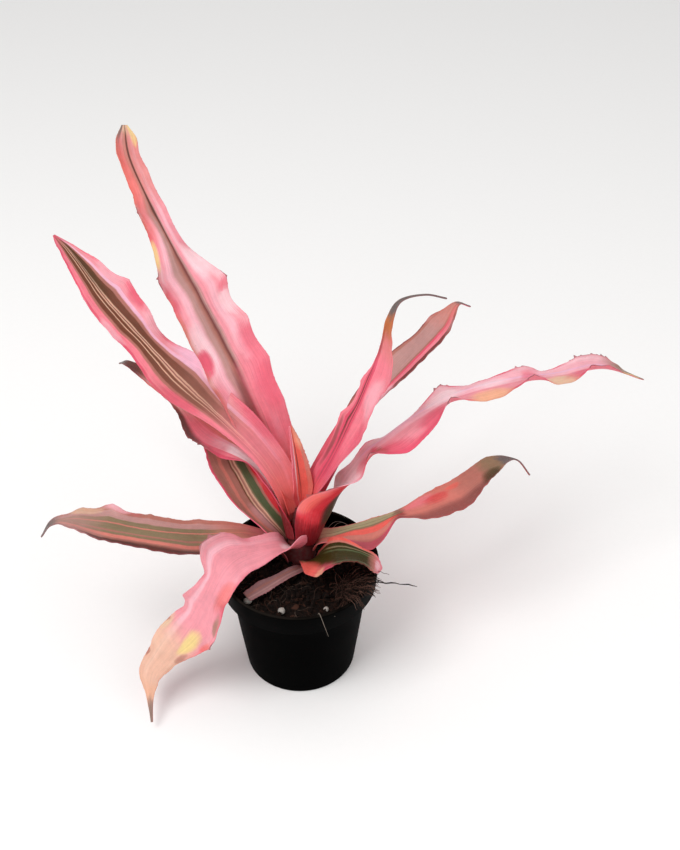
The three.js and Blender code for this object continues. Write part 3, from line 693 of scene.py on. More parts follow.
            ("salmon", 0.05), ("shell", 0.18), ("pale", 0.3), ("taupe", 0.42), ("umber", 0.46),
            ("maroon", 0.51), ("taupe", 0.55), ("shell", 0.66), ("pale", 0.8), ("shell", 1),
        ],
        washes=[
            ("rose", 0.4, 0.16, 0.6), ("coral", 0.2, 0.06, 0.85), ("salmon", 0.72, 0.84, 0.6),
            ("sand", 0.95, 0.99, 0.7),
        ],
        patches=[
            ("coral", 0.82, 0.15, 0.16, 0.25, 0.6), ("chestnut", 0.88, 0.48, 0.24, 0.05, 0.85),
            ("highlight_pink", 0.61, 0.85, 0.05, 0.25, 0.7), ("highlight_pink", 0.5, 0.9, 0.04, 0.16, 0.6),
            ("rose", 0.54, 0.97, 0.02, 0.15, 0.6), ("rose", 0.4, 0.95, 0.05, 0.3, 0.6),
            ("pink", 0.3, 0.8, 0.1, 0.4, 0.8), ("highlight_pink", 0.43, 0.15, 0.07, 0.16, 0.6),
            ("rose", 0.4, 0.08, 0.035, 0.14, 0.95), ("rose", 0.56, 0.03, 0.07, 0.09, 0.5),
            ("yellow", 0.655, 0.03, 0.04, 0.08, 0.7), ("rose", 0.3, 0.9, 0.08, 0.3, 0.6),
            ("grey", 1, 0.1, 0.06, 0.15, 0.9), ("yellow", 0.97, 0.9, 0.05, 0.2, 0.7),
            ("maroon", 0.28, 0.42, 0.08, 0.08, 0.7),
        ],
    ),
    "leaf_withered": dict(
        midrib=[(3.2, 1.9, 57.3), (2, -1.2, 59), (-4, -6, 60.5), (-12, -12, 60.5), (-24, -20, 59)],
        left=[2.5, 3, 3, 3.5, 2.5],
        right=[2.5, 3, 3, 4.5, 3.5],
        curl=[20, 20],
        edge=0.05,
        bands=[("mauve", 0.3), ("taupe", 0.4), ("mauve", 0.6), ("umber", 0.7), ("mauve", 1)],
        washes=[("crimson", 0.3, 0, 0.6)],
    ),
}

# What a leaf has where its own entry says nothing else. Where no rise is given, a margin rises by
# its ruffle for each millimetre that it stands out from its surroundings, and edge is half the
# width over which one band gives way to the next.
PLAIN_LEAF = dict(roll=[0, 0], ruffle=1, thread=0, edge=0.012, patches=[], crest_highlight=0.6, scurf=0.5)


def ease(x, low, high):
    share = np.clip((x - low) / (high - low), 0, 1)
    return share * share * (3 - 2 * share)


def along(keys, u):
    """The values at shares u of evenly spaced keys, eased between them."""
    keys = np.array(keys, float)
    place = np.clip(u, 0, 1) * (len(keys) - 1)
    i = np.minimum(place.astype(int), len(keys) - 2)
    return keys[i] + (keys[i + 1] - keys[i]) * ease(place - i, 0, 1)


def wavy(keys, u):
    """As along(), but in one smooth line with a sharp point at each key between lower ones."""
    keys = np.array(keys, float)
    step = np.diff(keys)
    middle = (step[1:] + step[:-1]) / 2
    crest = (step[:-1] > 0) & (step[1:] < 0)
    leaving = np.concatenate([step[:1], np.where(crest, step[1:], middle)])
    arriving = np.concatenate([np.where(crest, step[:-1], middle), step[-1:]])
    place = np.clip(u, 0, 1) * len(step)
    i = np.minimum(place.astype(int), len(step) - 1)
    t = place - i
    a, b = keys[i], keys[i + 1]
    bend = (1 - t) * (leaving[i] - step[i]) - t * (arriving[i] - step[i])
    return a + (b - a) * t + t * (1 - t) * bend


def margin(leaf, side, u):
    """Half width at shares u of a leaf's left or right side, and how far the margin rises there."""
    half = wavy(leaf[side], u)
    if "rise_" + side in leaf:
        return half, wavy(leaf["rise_" + side], u)
    around = sum(wavy(leaf[side], u + shift) for shift in NEARBY) / len(NEARBY)
    neck = 1 - leaf["thread"]
    return half, leaf["ruffle"] * (half - around) * (1 - ease(u, neck - 0.05, neck))


def unit(vectors):
    return vectors / np.linalg.norm(vectors, axis=-1, keepdims=True)


def midrib_points(points):
    """A centripetal curve through the points, as places close together along it."""
    p = np.array(points, float)
    p = np.vstack([2 * p[0] - p[1], p, 2 * p[-1] - p[-2]])
    t = np.linspace(0, 1, ARC_SAMPLES, endpoint=False)[:, None]
    pieces = []
    for a, b, c, d in zip(p, p[1:], p[2:], p[3:]):
        first, middle, last = (math.sqrt(np.linalg.norm(q)) for q in (b - a, c - b, d - c))
        out = ((b - a) / first - (c - a) / (first + middle) + (c - b) / middle) * middle
        into = ((c - b) / middle - (d - b) / (middle + last) + (d - c) / last) * middle
        square, cube = 3 * (c - b) - 2 * out - into, 2 * (b - c) + out + into
        pieces.append(b + out * t + square * t**2 + cube * t**3)
    return np.vstack([*pieces, p[-2]])


def stem_axis(z):
    """The middle of the stem at a height."""
    return np.array([STEM_FOOT[0], STEM_FOOT[1] + (z - SOIL_LEVEL) * math.tan(STEM_LEAN), z])


def reach_along(line):
    """How far each of a line's points lies from its start, measured along it."""
    return np.concatenate([[0], np.cumsum(np.linalg.norm(np.diff(line, axis=0), axis=1))])


def blade(leaf, u, v, sizes):
    """Places on a leaf, in millimetres, and how far each lies up or down a wave.

    They are at shares u along it and v across it, from 1 at the left margin to -1 at the right one.
    """
    line = midrib_points(leaf["midrib"])
    reach = reach_along(line)
    length = reach[-1]

    def at(share):
        return np.stack([np.interp(share * length, reach, line[:, k]) for k in range(3)], -1)

    point = at(u)
    step = 0.4 / length
    tangent = unit(at(np.clip(u + step, 0, 1)) - at(np.clip(u - step, 0, 1)))
    from_stem = line[0] - stem_axis(line[0][2])
    radius = np.linalg.norm(from_stem)
    outwards = unit((line[-1] - line[0]) * [1, 1, 0])
    clasp = math.degrees((leaf["left"][0] + leaf["right"][0]) / 2 / radius)
    share = ease(u, 0, 0.3)[:, None]
    heading = from_stem / radius * (1 - share) + outwards * share
    side = np.cross([0, 0, 1], heading)
    side = unit(side - tangent * (side * tangent).sum(-1, keepdims=True))
    roll = np.radians(along(leaf["roll"], u))[:, None]
    side = side * np.cos(roll) + np.cross(tangent, side) * np.sin(roll)
    up = np.cross(tangent, side)

    (left, rise_left), (right, rise_right) = margin(leaf, "left", u), margin(leaf, "right", u)
    curl = np.maximum(np.radians(along([clasp, *leaf["curl"]], u)), 1e-3)
    bend = (2 * curl / (left + right))[:, None]
    half = np.where(v > 0, left[:, None], right[:, None])
    rise = np.where(v > 0, rise_left[:, None], rise_right[:, None])
    turn = bend * v * half
    u = u[:, None]
    neck = 1 - leaf["thread"]
    # The fine shape fades at both ends
    fine = ease(u, 0.05, 0.2) * (1 - ease(u, 0.9 - leaf["thread"], neck))
    # Small waves of three lengths, out of step with each other and from one margin to the other
    shift = 2 * np.sign(v)
    flutter = np.sin(61 * u + shift) * np.sin(37 * u + 2 * shift)
    flutter = flutter + 0.6 * np.sin(147 * u + 5 * shift)
    ruffle = sizes.ruffle / MM * ease(u, *RUFFLE_START) * fine * v**6 * flutter
    # Low ribs along the blade, and the groove over the midrib
    groove = GROOVE_DEPTH * np.exp(-((v / GROOVE_REACH) ** 2))
    rib = (RIB_HEIGHT * np.cos(RIBS * math.pi * v) - groove) * (1 - v**2) * fine
    height = rise * np.abs(v) ** 3 + ruffle + rib
    # Teeth of uneven size on every few rows, which grow into spines on the crests of the waves
    edge = np.where(np.abs(v) > 0.995, 1.0, 0.0) * ease(half, 1, 4)
    row = np.arange(len(u))[:, None] % TOOTH_ROWS == TOOTH_ROWS - 1
    uneven = np.clip(0.5 + np.sin(173 * u + 3 * np.sign(v)) * np.sin(97 * u), 0, 1.3)
    size = sizes.tooth + ease(rise, *SPINE_CREST) * (sizes.spine - sizes.tooth)
    outward = edge * row * uneven * size / MM * np.sign(v)
    sideways = np.sin(turn) / bend - height * np.sin(turn) + outward * np.cos(turn)
    upwards = (1 - np.cos(turn)) / bend + height * np.cos(turn) + outward * np.sin(turn)
    places = point[:, None] + side[:, None] * sideways[..., None] + up[:, None] * upwards[..., None]
    return places, np.clip(rise * np.abs(v) ** 3 / FULL_CREST, -1, 1)


def leaf_paint(name, leaf, underside):
    """A blade's material: bands from margin to margin, washes along it, patches, and painted
    highlight and shade on the waves.
    """
    look = {**leaf, "patches": [], **leaf["under"]} if underside and "under" in leaf else leaf
    paint = Paint(name)
    place = paint.node("ShaderNodeUVMap", {"uv_map": "blade"})
    across = paint.node("ShaderNodeSeparateXYZ", values={0: place})
    length = across.other(1)
    seed = len(name) * 1.7

    def spots(over, out, shift=0, detail=2, roughness=0.5):
        """Noise at its own scales across the blade and along it."""
        spot = paint.point(across * over, length * out, seed + shift)
        return paint.noise(spot, 1, detail, roughness)

    wobble = spots(4, 26, detail=3)
    fine = spots(95, 7, detail=3, roughness=0.6)
    broad = spots(3, 9, 4)
    blotch = spots(9, 60, 9, 4, 0.6)

    # Bands, whose edges waver
    stops = []
    start = 0.0
    for colour, end in look["bands"]:
        inset = min(look["edge"], 0.45 * (end - start))
        stops.append((start + inset if start else 0, tint(colour)))
        stops.append((end - inset if end < 1 else 1, tint(colour)))
        start = end
    shifted = across + (wobble - 0.5) * 0.035 + (fine - 0.5) * 0.03
    colour = paint.node("ShaderNodeValToRGB", {"stops": stops}, {0: shifted})
    side = abs(across * 2 - 1)
    crest = paint.attribute("crest")

    # Painted highlight on the wave crests (pale pink underneath), painted shade in the troughs
    crest_highlight = side.rise(0.35, 0.95) * (broad - 0.5 + crest * 0.45).rise(0.05, 0.5, look["crest_highlight"])
    colour = paint.mix(crest_highlight, colour, tint("pale" if underside else "highlight_pink"))
    trough_shade = side.rise(0.3, 0.9) * (0.42 - broad + crest * -0.5).rise(0.0, 0.5, 0.7)
    colour = paint.mix(trough_shade, colour, tint("rose"))

    # Washes and patches, whose edges waver too
    drift = length + (wobble - 0.5) * 0.05 + (fine - 0.5) * 0.03
    for wash, begin, full, strength in look["washes"]:
        colour = paint.mix(drift.rise(begin, full, strength), colour, tint(wash))
    for patch, out, over, long_reach, wide_reach, strength in look["patches"]:
        ahead, beside = (drift - out) / long_reach, (across - over) / wide_reach
        away = ahead.math("POWER", 2.0) + beside.math("POWER", 2.0)
        colour = paint.mix(away.rise(1.2, 0.1, strength), colour, tint(patch))

    # Margins, their dark teeth, and small stains
    colour = paint.mix(side.rise(0.94, 1.0, 0.12), colour, tint("rose"))
    colour = paint.mix(side.rise(0.97, 1.0) * crest.rise(0.6, 0.95, 0.7), colour, tint("maroon"))
    colour = paint.mix(side.rise(0.5, 0.95) * blotch.rise(0.62, 0.72, 0.3), colour, tint("umber"))

    light = 0.97 + (fine - 0.5) * 0.5 + (broad - 0.5) * 0.3 + (blotch - 0.5) * 0.25
    roughness = 0.4 + (broad - 0.5) * 0.2
    if underside:
        colour = paint.mix((spots(60, 90) - 0.4) * look["scurf"], colour, tint("pale"))
        roughness = roughness + 0.15
    return paint.surface(
        Base_Color=paint.scaled(colour, light),
        Roughness=roughness,
        Specular_IOR_Level=0.22,
        Subsurface_Weight=0.18,
        Subsurface_Scale=0.003,
        Subsurface_Radius=(1.0, 0.4, 0.32),
        Normal=paint.bump(fine * 0.7 + wobble * 0.3, 0.5, 0.0006),
    )


def deselect():
    if bpy.context.mode != "OBJECT":
        bpy.ops.object.mode_set(mode="OBJECT")
    bpy.ops.object.select_all(action="DESELECT")


def add(name, operator, **settings):
    """Adds an object by one of Blender's operators, under its own name."""
    deselect()
    operator(**settings)
    made = bpy.context.object
    made.name = made.data.name = name
    return made


def set_places(mesh, places):
    mesh.vertices.foreach_set("co", np.asarray(places, np.float32).reshape(-1))
    mesh.update()


def vertex_places(mesh):
    places = np.empty(len(mesh.vertices) * 3, np.float32)
    mesh.vertices.foreach_get("co", places)
    return places.reshape(-1, 3)


def set_attribute(mesh, name, values):
    """Gives each point of the mesh its own number, for the material to read."""
    numbers = np.asarray(values, np.float32)
    mesh.attributes.new(name, "FLOAT", "POINT").data.foreach_set("value", numbers)


def smooth(piece):
    piece.data.polygons.foreach_set("use_smooth", [True] * len(piece.data.polygons))


def apply_modifiers(piece):
    bpy.context.view_layer.objects.active = piece
    for modifier in list(piece.modifiers):
        bpy.ops.object.modifier_apply(modifier=modifier.name)


def settle(piece, *nodes):
    """The finished piece rides on the part's one body in place of its plain solids."""
    deselect()
    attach(piece, "root")
    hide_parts(*nodes)


def make_leaf(node, leaf, sizes):
    rows = round(reach_along(midrib_points(leaf["midrib"]))[-1] * MM / sizes.station)
    grid = dict(x_subdivisions=sizes.columns, y_subdivisions=rows, size=1)
    piece = add(node + "_blade", bpy.ops.mesh.primitive_grid_add, **grid)
    mesh = piece.data
    flat = vertex_places(mesh)
    u = np.linspace(0, 1, rows + 1)
    v = np.sin(np.linspace(1, -1, sizes.columns + 1) * math.pi / 2)[None, :]
    places, crest = blade(leaf, u, v, sizes)
    row = np.rint((flat[:, 1] + 0.5) * rows).astype(int)
    column = np.rint((flat[:, 0] + 0.5) * sizes.columns).astype(int)
    set_places(mesh, places[row, column] * MM)
    set_attribute(mesh, "crest", crest[row, column])
    corners = np.empty(len(mesh.loops), np.int32)
    mesh.loops.foreach_get("vertex_index", corners)
    mesh.uv_layers[0].name = "blade"
    shares = np.stack([(1 - v[0][column]) / 2, u[row]], -1)[corners]
    mesh.uv_layers[0].data.foreach_set("uv", shares.astype(np.float32).reshape(-1))

    # The blade's two faces, each with its own material, thinner towards the margins
    mesh.materials.append(leaf_paint(node + "_upper", leaf, False))
    mesh.materials.append(leaf_paint(node + "_under", leaf, True))
    thick = piece.vertex_groups.new(name="thick")
    for k, across in enumerate(v[0]):
        thick.add(np.flatnonzero(column == k).tolist(), 1 - 0.5 * abs(across), "REPLACE")
    solidify = piece.modifiers.new("thickness", "SOLIDIFY")
    solidify.thickness = sizes.thickness
    solidify.offset = 0
    solidify.vertex_group = thick.name
    solidify.material_offset = 1
    solidify.use_even_offset = False
    apply_modifiers(piece)
    piece.vertex_groups.clear()
    smooth(piece)
    settle(piece, node)


class EARTHSTAR_OT_leaves(bpy.types.Operator):
    """Makes the thirteen leaves with their waved and toothed margins"""

    bl_idname = "earthstar.leaves"
    bl_label = "Leaves"

    def execute(self, context):
        for node, leaf in LEAVES.items():
            make_leaf(node, {**PLAIN_LEAF, **leaf}, star().leaves)
        return {"FINISHED"}


# Pot


def pot_paint():
    look = star().pot
    paint = Paint("pot_plastic")
    place = paint.place()
    grain = paint.noise(place, 900, detail=2)
    cloud = paint.noise(place, 60, detail=4)
    height = paint.node("ShaderNodeSeparateXYZ", values={0: place}, output=2)
    splash = cloud.rise(0.58, 0.75) * height.rise(0.02, 0.06, 0.35)
    colour = paint.mix(splash, look.plastic, look.dust_and_rim_highlight)
    # Painted highlight: a lighter band, in the dust colour, along the rounded top of the rim
    colour = paint.mix(height.rise(0.0622, 0.0629) * cloud.rise(0.3, 0.6), colour, look.dust_and_rim_highlight)
    roughness = look.roughness + cloud * 0.16 + splash * 0.4
    return paint.surface(
        Base_Color=colour,
        Roughness=roughness,
        Specular_IOR_Level=0.03,
        IOR=1.2,
        Normal=paint.bump(grain * 0.4 + cloud, 0.12, 0.0004),
    )


class EARTHSTAR_OT_pot(bpy.types.Operator):
    """Makes the pot by drawing a ring out along its profile, then drills the drainage holes"""

    bl_idname = "earthstar.pot"
    bl_label = "Pot"

    def execute(self, context):
        slope = (POT_NECK_RADIUS - POT_FOOT_RADIUS) / POT_NECK
        inner = lambda z: POT_FOOT_RADIUS + slope * z - POT_WALL
        foot, waist, rim, top = POT_FOOT_RADIUS, POT_NECK_RADIUS, POT_RIM_RADIUS, POT_HEIGHT
        # Radii and heights, out under the floor, up the outside, over the rim and down the inside
        profile = [
            (DRAIN_CIRCLE + DRAIN_LAND, 0), (foot - 1.2, 0), (foot - 0.6, 0.1), (foot - 0.1, 0.6),
            (foot + 0.02, 1.4), (foot + slope * 20, 20), (foot + slope * 40, 40),
            (waist - 0.05, POT_NECK - 0.5), (waist + 0.1, POT_NECK), (waist + 0.5, POT_NECK + 0.2),
            (rim - 1.4, POT_NECK + 0.9), (rim - 1, POT_NECK + 1.4), (rim - 0.15, top - 1.2),
            (rim, top - 0.7), (rim - 0.15, top - 0.2), (rim - 0.5, top), (rim - 1.1, top),
            (rim - 1.5, top - 0.3), (rim - 1.7, top - 0.9),
            (rim - COLLAR_WALL, POT_NECK + LEDGE_TOP), (inner(POT_NECK), POT_NECK + LEDGE_FOOT),
            (inner(30), 30), (inner(POT_FLOOR) + 0.05, POT_FLOOR + 1),
            (inner(POT_FLOOR) - 1, POT_FLOOR), (DRAIN_CIRCLE + DRAIN_LAND, POT_FLOOR),
            (DRAIN_CIRCLE - DRAIN_LAND, POT_FLOOR),
        ]
        radius, level = DRAIN_CIRCLE - DRAIN_LAND, 0
        circle = dict(vertices=POT_SIDES, radius=radius * MM)
        piece = add("nursery_pot", bpy.ops.mesh.primitive_circle_add, **circle)
        bpy.ops.object.mode_set(mode="EDIT")
        for next_radius, next_level in profile:
            rise = (next_level - level) * MM
            bpy.ops.mesh.extrude_region_move(TRANSFORM_OT_translate={"value": (0, 0, rise)})
            grow = next_radius / radius
            bpy.ops.transform.resize(value=(grow, grow, 1), center_override=(0, 0, next_level * MM))
            radius, level = next_radius, next_level
        bpy.ops.mesh.edge_face_add()
        bpy.ops.mesh.select_all(action="DESELECT")
        bpy.ops.object.mode_set(mode="OBJECT")
        # The first ring, which the floor's underside still lacks a face in
        within = (DRAIN_CIRCLE - DRAIN_LAND + 1) * MM
        for edge in piece.data.edges:
            ends = [piece.data.vertices[k].co for k in edge.vertices]
            edge.select = all(p.z < 1e-6 and p.xy.length < within for p in ends)
        bpy.ops.object.mode_set(mode="EDIT")
        bpy.ops.mesh.edge_face_add()
        bpy.ops.mesh.select_all(action="SELECT")
        bpy.ops.mesh.normals_make_consistent(inside=False)
        bpy.ops.object.mode_set(mode="OBJECT")
        drills = []
        for k in range(DRAIN_HOLES):
            angle, out = 2 * math.pi * k / DRAIN_HOLES, DRAIN_CIRCLE * MM
            rod = dict(vertices=32, radius=DRAIN_RADIUS * MM, depth=10 * MM)
            rod["location"] = (out * math.cos(angle), out * math.sin(angle), 0)
            drills.append(add(f"drill_{k}", bpy.ops.mesh.primitive_cylinder_add, **rod))
            hole = piece.modifiers.new(f"hole_{k}", "BOOLEAN")
            hole.object = drills[-1]
            hole.solver = "EXACT"
        apply_modifiers(piece)
        for drill in drills:
            bpy.data.objects.remove(drill)
        piece.data.materials.clear()
        piece.data.materials.append(pot_paint())
        deselect()
        piece.select_set(True)
        bpy.context.view_layer.objects.active = piece
        bpy.ops.object.shade_smooth_by_angle(angle=math.radians(50))
        settle(piece, "pot")
        return {"FINISHED"}


# Growing mix


def soil_top(x, y):
    """Height of the mix at a place, in millimetres: a hump round the stem and lumps of bark."""
    hump = SOIL_HUMP * np.exp(-((x - STEM_FOOT[0]) ** 2 + (y - STEM_FOOT[1]) ** 2) / HUMP_SPREAD)
    coarse = np.sin(0.55 * x + 1.3) * np.sin(0.61 * y - 0.4)
    fine = 0.7 * np.sin(0.9 * x - 0.8 * y + 2.1)
    return SOIL_LEVEL + hump + SOIL_LUMP * (coarse + fine)


def crumb_paint(name, dark, light, strength):
    """Broken bark and coir, or roots: rough, and dark with lighter specks."""
    paint = Paint(name)
    place = paint.place()
    tone = paint.attribute("tone")
    grain = paint.noise(place, 1400, detail=4, roughness=0.65)
    lump = paint.noise(place, 420, detail=3)
    colour = paint.mix((tone * 0.8 + (grain - 0.5) * 0.9).rise(0.1, 1.0), dark, light)
    colour = paint.scaled(colour, 0.6 + lump * 0.9)
    return paint.surface(
        Base_Color=colour,
        Roughness=0.7 + grain * 0.25,
        Specular_IOR_Level=0.15,
        Normal=paint.bump(grain + lump, strength, 0.0006),
    )


def merged(name, parts, tones):
    """One mesh object from many (places, faces) parts, with a tone for each part."""
    places, faces, tone = [], [], []
    start = 0
    for (part_places, part_faces), shade in zip(parts, tones):
        places.append(part_places)
        faces.extend([[start + k for k in face] for face in part_faces])
        tone.extend([shade] * len(part_places))
        start += len(part_places)
    mesh = bpy.data.meshes.new(name)
    mesh.from_pydata(np.vstack(places).tolist(), [], faces)
    set_attribute(mesh, "tone", tone)
    piece = bpy.data.objects.new(name, mesh)
    bpy.context.collection.objects.link(piece)
    return piece


def tube(points, radii, sides):
    """A thin closed tube through points, in millimetres: its places, in metres, and its faces."""
    points, radii = np.array(points, float) * MM, np.array(radii) * MM
    tangent = unit(np.gradient(points, axis=0))
    across = unit(np.cross(tangent, [0.31, 0.23, 0.92]))
    up = np.cross(tangent, across)
    angle = np.linspace(0, 2 * math.pi, sides, endpoint=False)[None, :, None]
    ring = across[:, None] * np.cos(angle) + up[:, None] * np.sin(angle)
    places = (points[:, None] + ring * radii[:, None, None]).reshape(-1, 3)
    faces = []
    for i in range(len(points) - 1):
        for s in range(sides):
            t = (s + 1) % sides
            faces.append([i * sides + s, i * sides + t, (i + 1) * sides + t, (i + 1) * sides + s])
    faces.append(list(range(sides))[::-1])
    faces.append([(len(points) - 1) * sides + s for s in range(sides)])
    return places, faces


def strand(points, thick, thin, sides):
    """A tube that tapers from one radius to another."""
    return tube(points, np.linspace(thick, thin, len(points)), sides)


def bezier(a, b, c, d, count):
    t = np.linspace(0, 1, count)[:, None]
    a, b, c, d = (np.array(p, float) for p in (a, b, c, d))
    return a * (1 - t) ** 3 + 3 * b * t * (1 - t) ** 2 + 3 * c * t**2 * (1 - t) + d * t**3


# Fibres that reach the rim or hang over it: the four points of each one's curve, and its radius
RIM_FIBRES = [
    (((8, -33, 57), (8, -36.5, 70), (9, -41, 67), (12.5, -38.9, 52)), 0.22),
    (((11, -30, 56), (14, -32, 59), (16, -34, 60), (15.5, -36.2, 61.8)), 0.18),
    (((16, 26, 54.5), (19, 29, 62.5), (24, 27, 63), (28, 21, 59)), 0.22),
    (((14, 28, 54.5), (18, 30, 63), (23, 27, 62.5), (27, 22, 60)), 0.2),
    (((20, 25, 54.5), (24, 26, 63), (28, 22, 63), (31, 15, 59)), 0.18),
    (((22, 22, 54.5), (22, 27, 61), (25, 26, 62), (25, 23, 60)), 0.2),
    (((17, 25, 54.5), (20, 28, 61), (24, 25.5, 61.5), (30, 17, 60)), 0.18),
]


def turning(spin, pitch, roll):
    """A turn about Z after small turns about X and Y."""
    cx, sx, cy, sy, cz, sz = (f(a) for a in (pitch, roll, spin) for f in (math.cos, math.sin))
    about_x = np.array([[1, 0, 0], [0, cx, -sx], [0, sx, cx]])
    about_y = np.array([[cy, 0, sy], [0, 1, 0], [-sy, 0, cy]])
    about_z = np.array([[cz, -sz, 0], [sz, cz, 0], [0, 0, 1]])
    return about_z @ about_y @ about_x


class EARTHSTAR_OT_mix(bpy.types.Operator):
    """Makes the growing mix: a crumbly body with bark chips and coir fibres on it"""

    bl_idname = "earthstar.mix"
    bl_label = "Growing mix"

    def execute(self, context):
        look = star().mix
        inset = POT_WALL + CLEARANCE
        edge, waist = POT_RIM_RADIUS - COLLAR_WALL - CLEARANCE, POT_NECK_RADIUS - inset
        steps = [0, POT_NECK + LEDGE_FOOT + CLEARANCE, POT_NECK + LEDGE_TOP + CLEARANCE]
        reach = lambda z: np.interp(z, steps, [POT_FOOT_RADIUS - inset, waist, edge])
        # The ball's upper half becomes the top, the next 60 degrees the wall, the rest the floor
        ball = dict(segments=144, ring_count=120, radius=1)
        body = add("mix_body", bpy.ops.mesh.primitive_uv_sphere_add, **ball)
        ball = vertex_places(body.data)
        polar = np.degrees(np.arccos(np.clip(ball[:, 2], -1, 1)))
        turn = np.arctan2(ball[:, 1], ball[:, 0])
        floor = POT_FLOOR + CLEARANCE
        top_share = np.clip(polar / 90, 0, 1)
        radius = edge * top_share
        x, y = radius * np.cos(turn), radius * np.sin(turn)
        rng = np.random.default_rng(4)
        z = soil_top(x, y) + rng.normal(0, 0.28, len(x)) - 0.5 * ease(top_share, 0.93, 1)
        z = np.maximum(z, np.interp(radius, [waist, edge], steps[1:]) + 0.1)
        under = polar > 90.1
        wall = np.clip((polar - 90) / 60, 0, 1)
        level = steps[2] + (floor - steps[2]) * wall
        low = reach(level) * np.where(polar > 150, (180 - polar) / 30, 1)
        x = np.where(under, low * np.cos(turn), x)
        y = np.where(under, low * np.sin(turn), y)
        z = np.where(under, level, z)
        set_places(body.data, np.stack([x, y, z], -1) * MM)
        set_attribute(body.data, "tone", rng.random(len(x)).astype(np.float32) * 0.5)
        body.data.materials.append(crumb_paint("mix_crumb", look.peat, look.bark, 0.9))
        smooth(body)
        settle(body, "soil")
        self.add_chips(look, edge)
        self.add_fibres(look, edge)
        return {"FINISHED"}

    def add_chips(self, look, edge):
        """Bark chips: one worn block, flattened, turned and strewn."""
        block = add("chip_block", bpy.ops.mesh.primitive_ico_sphere_add, subdivisions=1, radius=1)
        shape = vertex_places(block.data)
        faces = [list(p.vertices) for p in block.data.polygons]
        bpy.data.objects.remove(block)
        rng = np.random.default_rng(11)
        parts, tones = [], []
        for _ in range(look.chips):
            radius = edge * math.sqrt(rng.random()) * 0.97
            angle = rng.random() * 2 * math.pi
            x, y = radius * math.cos(angle), radius * math.sin(angle)
            length = rng.uniform(0.7, 1.5) * (2.1 if rng.random() < 0.12 else 1)
            size = length * np.array([1, rng.uniform(0.35, 0.75), rng.uniform(0.25, 0.5)])
            worn = shape * (1 + rng.uniform(-0.28, 0.28, (len(shape), 1))) * size
            lean = rng.normal(0, 0.5, 2)
            spin = rng.random() * 2 * math.pi
            turned = worn @ turning(spin, *lean).T
            place = np.array([x, y, soil_top(x, y) + rng.uniform(-0.1, 0.9) + 0.2 * length])
            parts.append(((turned + place) * MM, faces))
            tones.append(rng.random() ** 2)
        chips = merged("bark_chips", parts, tones)
        chips.data.materials.append(crumb_paint("bark", look.peat, look.bark, 0.7))
        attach(chips, "root")

    def add_fibres(self, look, edge):
        """Coir fibres that lie in loose curves on the mix, and a few that hang over the rim."""
        rng = np.random.default_rng(23)
        parts, tones = [], []
        for _ in range(look.fibres):
            radius = edge * math.sqrt(rng.random()) * 0.9
            angle = rng.random() * 2 * math.pi
            start = np.array([radius * math.cos(angle), radius * math.sin(angle)])
            way = rng.random() * 2 * math.pi
            length = rng.uniform(3, 12)
            bow = rng.normal(0, 0.25) * length
            step = np.array([math.cos(way), math.sin(way)])
            side = np.array([-step[1], step[0]])
            t = np.linspace(0, 1, 8)[:, None]
            flat = start + step * length * t + side * bow * np.sin(math.pi * t)
            flat *= np.minimum(1, (edge - 0.6) / np.linalg.norm(flat, axis=1, keepdims=True))
            lift = rng.uniform(0.4, 2.2) * np.sin(math.pi * t[:, 0]) + rng.uniform(0.5, 1.1)
            points = np.column_stack([flat, soil_top(flat[:, 0], flat[:, 1]) + lift])
            thick = rng.uniform(0.07, 0.16)
            parts.append(strand(points, thick, thick * 0.4, 3))
            tones.append(rng.random() ** 2 * 0.7)
        for points, thick in RIM_FIBRES:
            parts.append(strand(bezier(*points, 12), thick, thick * 0.4, 5))
            tones.append(1.0)
        fibres = merged("coir_fibres", parts, tones)
        fibres.data.materials.append(crumb_paint("coir", look.coir, look.straw, 0.3))
        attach(fibres, "root")


# Perlite


class EARTHSTAR_OT_perlite(bpy.types.Operator):
    """Makes the white perlite grains on the mix, where the plain ones lie"""

    bl_idname = "earthstar.perlite"
    bl_label = "Perlite"

    def execute(self, context):
        paint = Paint("perlite_foam")
        place = paint.place()
        pits = paint.noise(place, 1900, detail=3)
        stain = paint.noise(place, 500, detail=2)
        look = star().mix
        colour = paint.mix(stain.rise(0.5, 0.75, 0.6), look.perlite, look.straw)
        bump = paint.bump(pits, 0.8, 0.0004)
        material = paint.surface(Base_Color=colour, Roughness=0.9, Normal=bump)
        for k in range(1, 5):
            node = f"perlite_{k}"
            low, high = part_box(node)
            middle, half = (low + high) / 2, (high - low) / 2
            ico = dict(subdivisions=4, radius=1)
            piece = add(node + "_grain", bpy.ops.mesh.primitive_ico_sphere_add, **ico)
            ball = vertex_places(piece.data)
            x, y, z = ball[:, :1], ball[:, 1:2], ball[:, 2:]
            knobs = 1 + 0.1 * np.sin(5 * x + k) * np.sin(6 * y - k) * np.sin(5 * z + 2)
            pores = 1 - 0.05 * np.abs(np.sin(17 * x) * np.sin(19 * y + k))
            set_places(piece.data, ball * knobs * pores * np.array(half) + np.array(middle))
            piece.data.materials.append(material)
            smooth(piece)
            settle(piece, node)
        return {"FINISHED"}


# Stem and dry roots


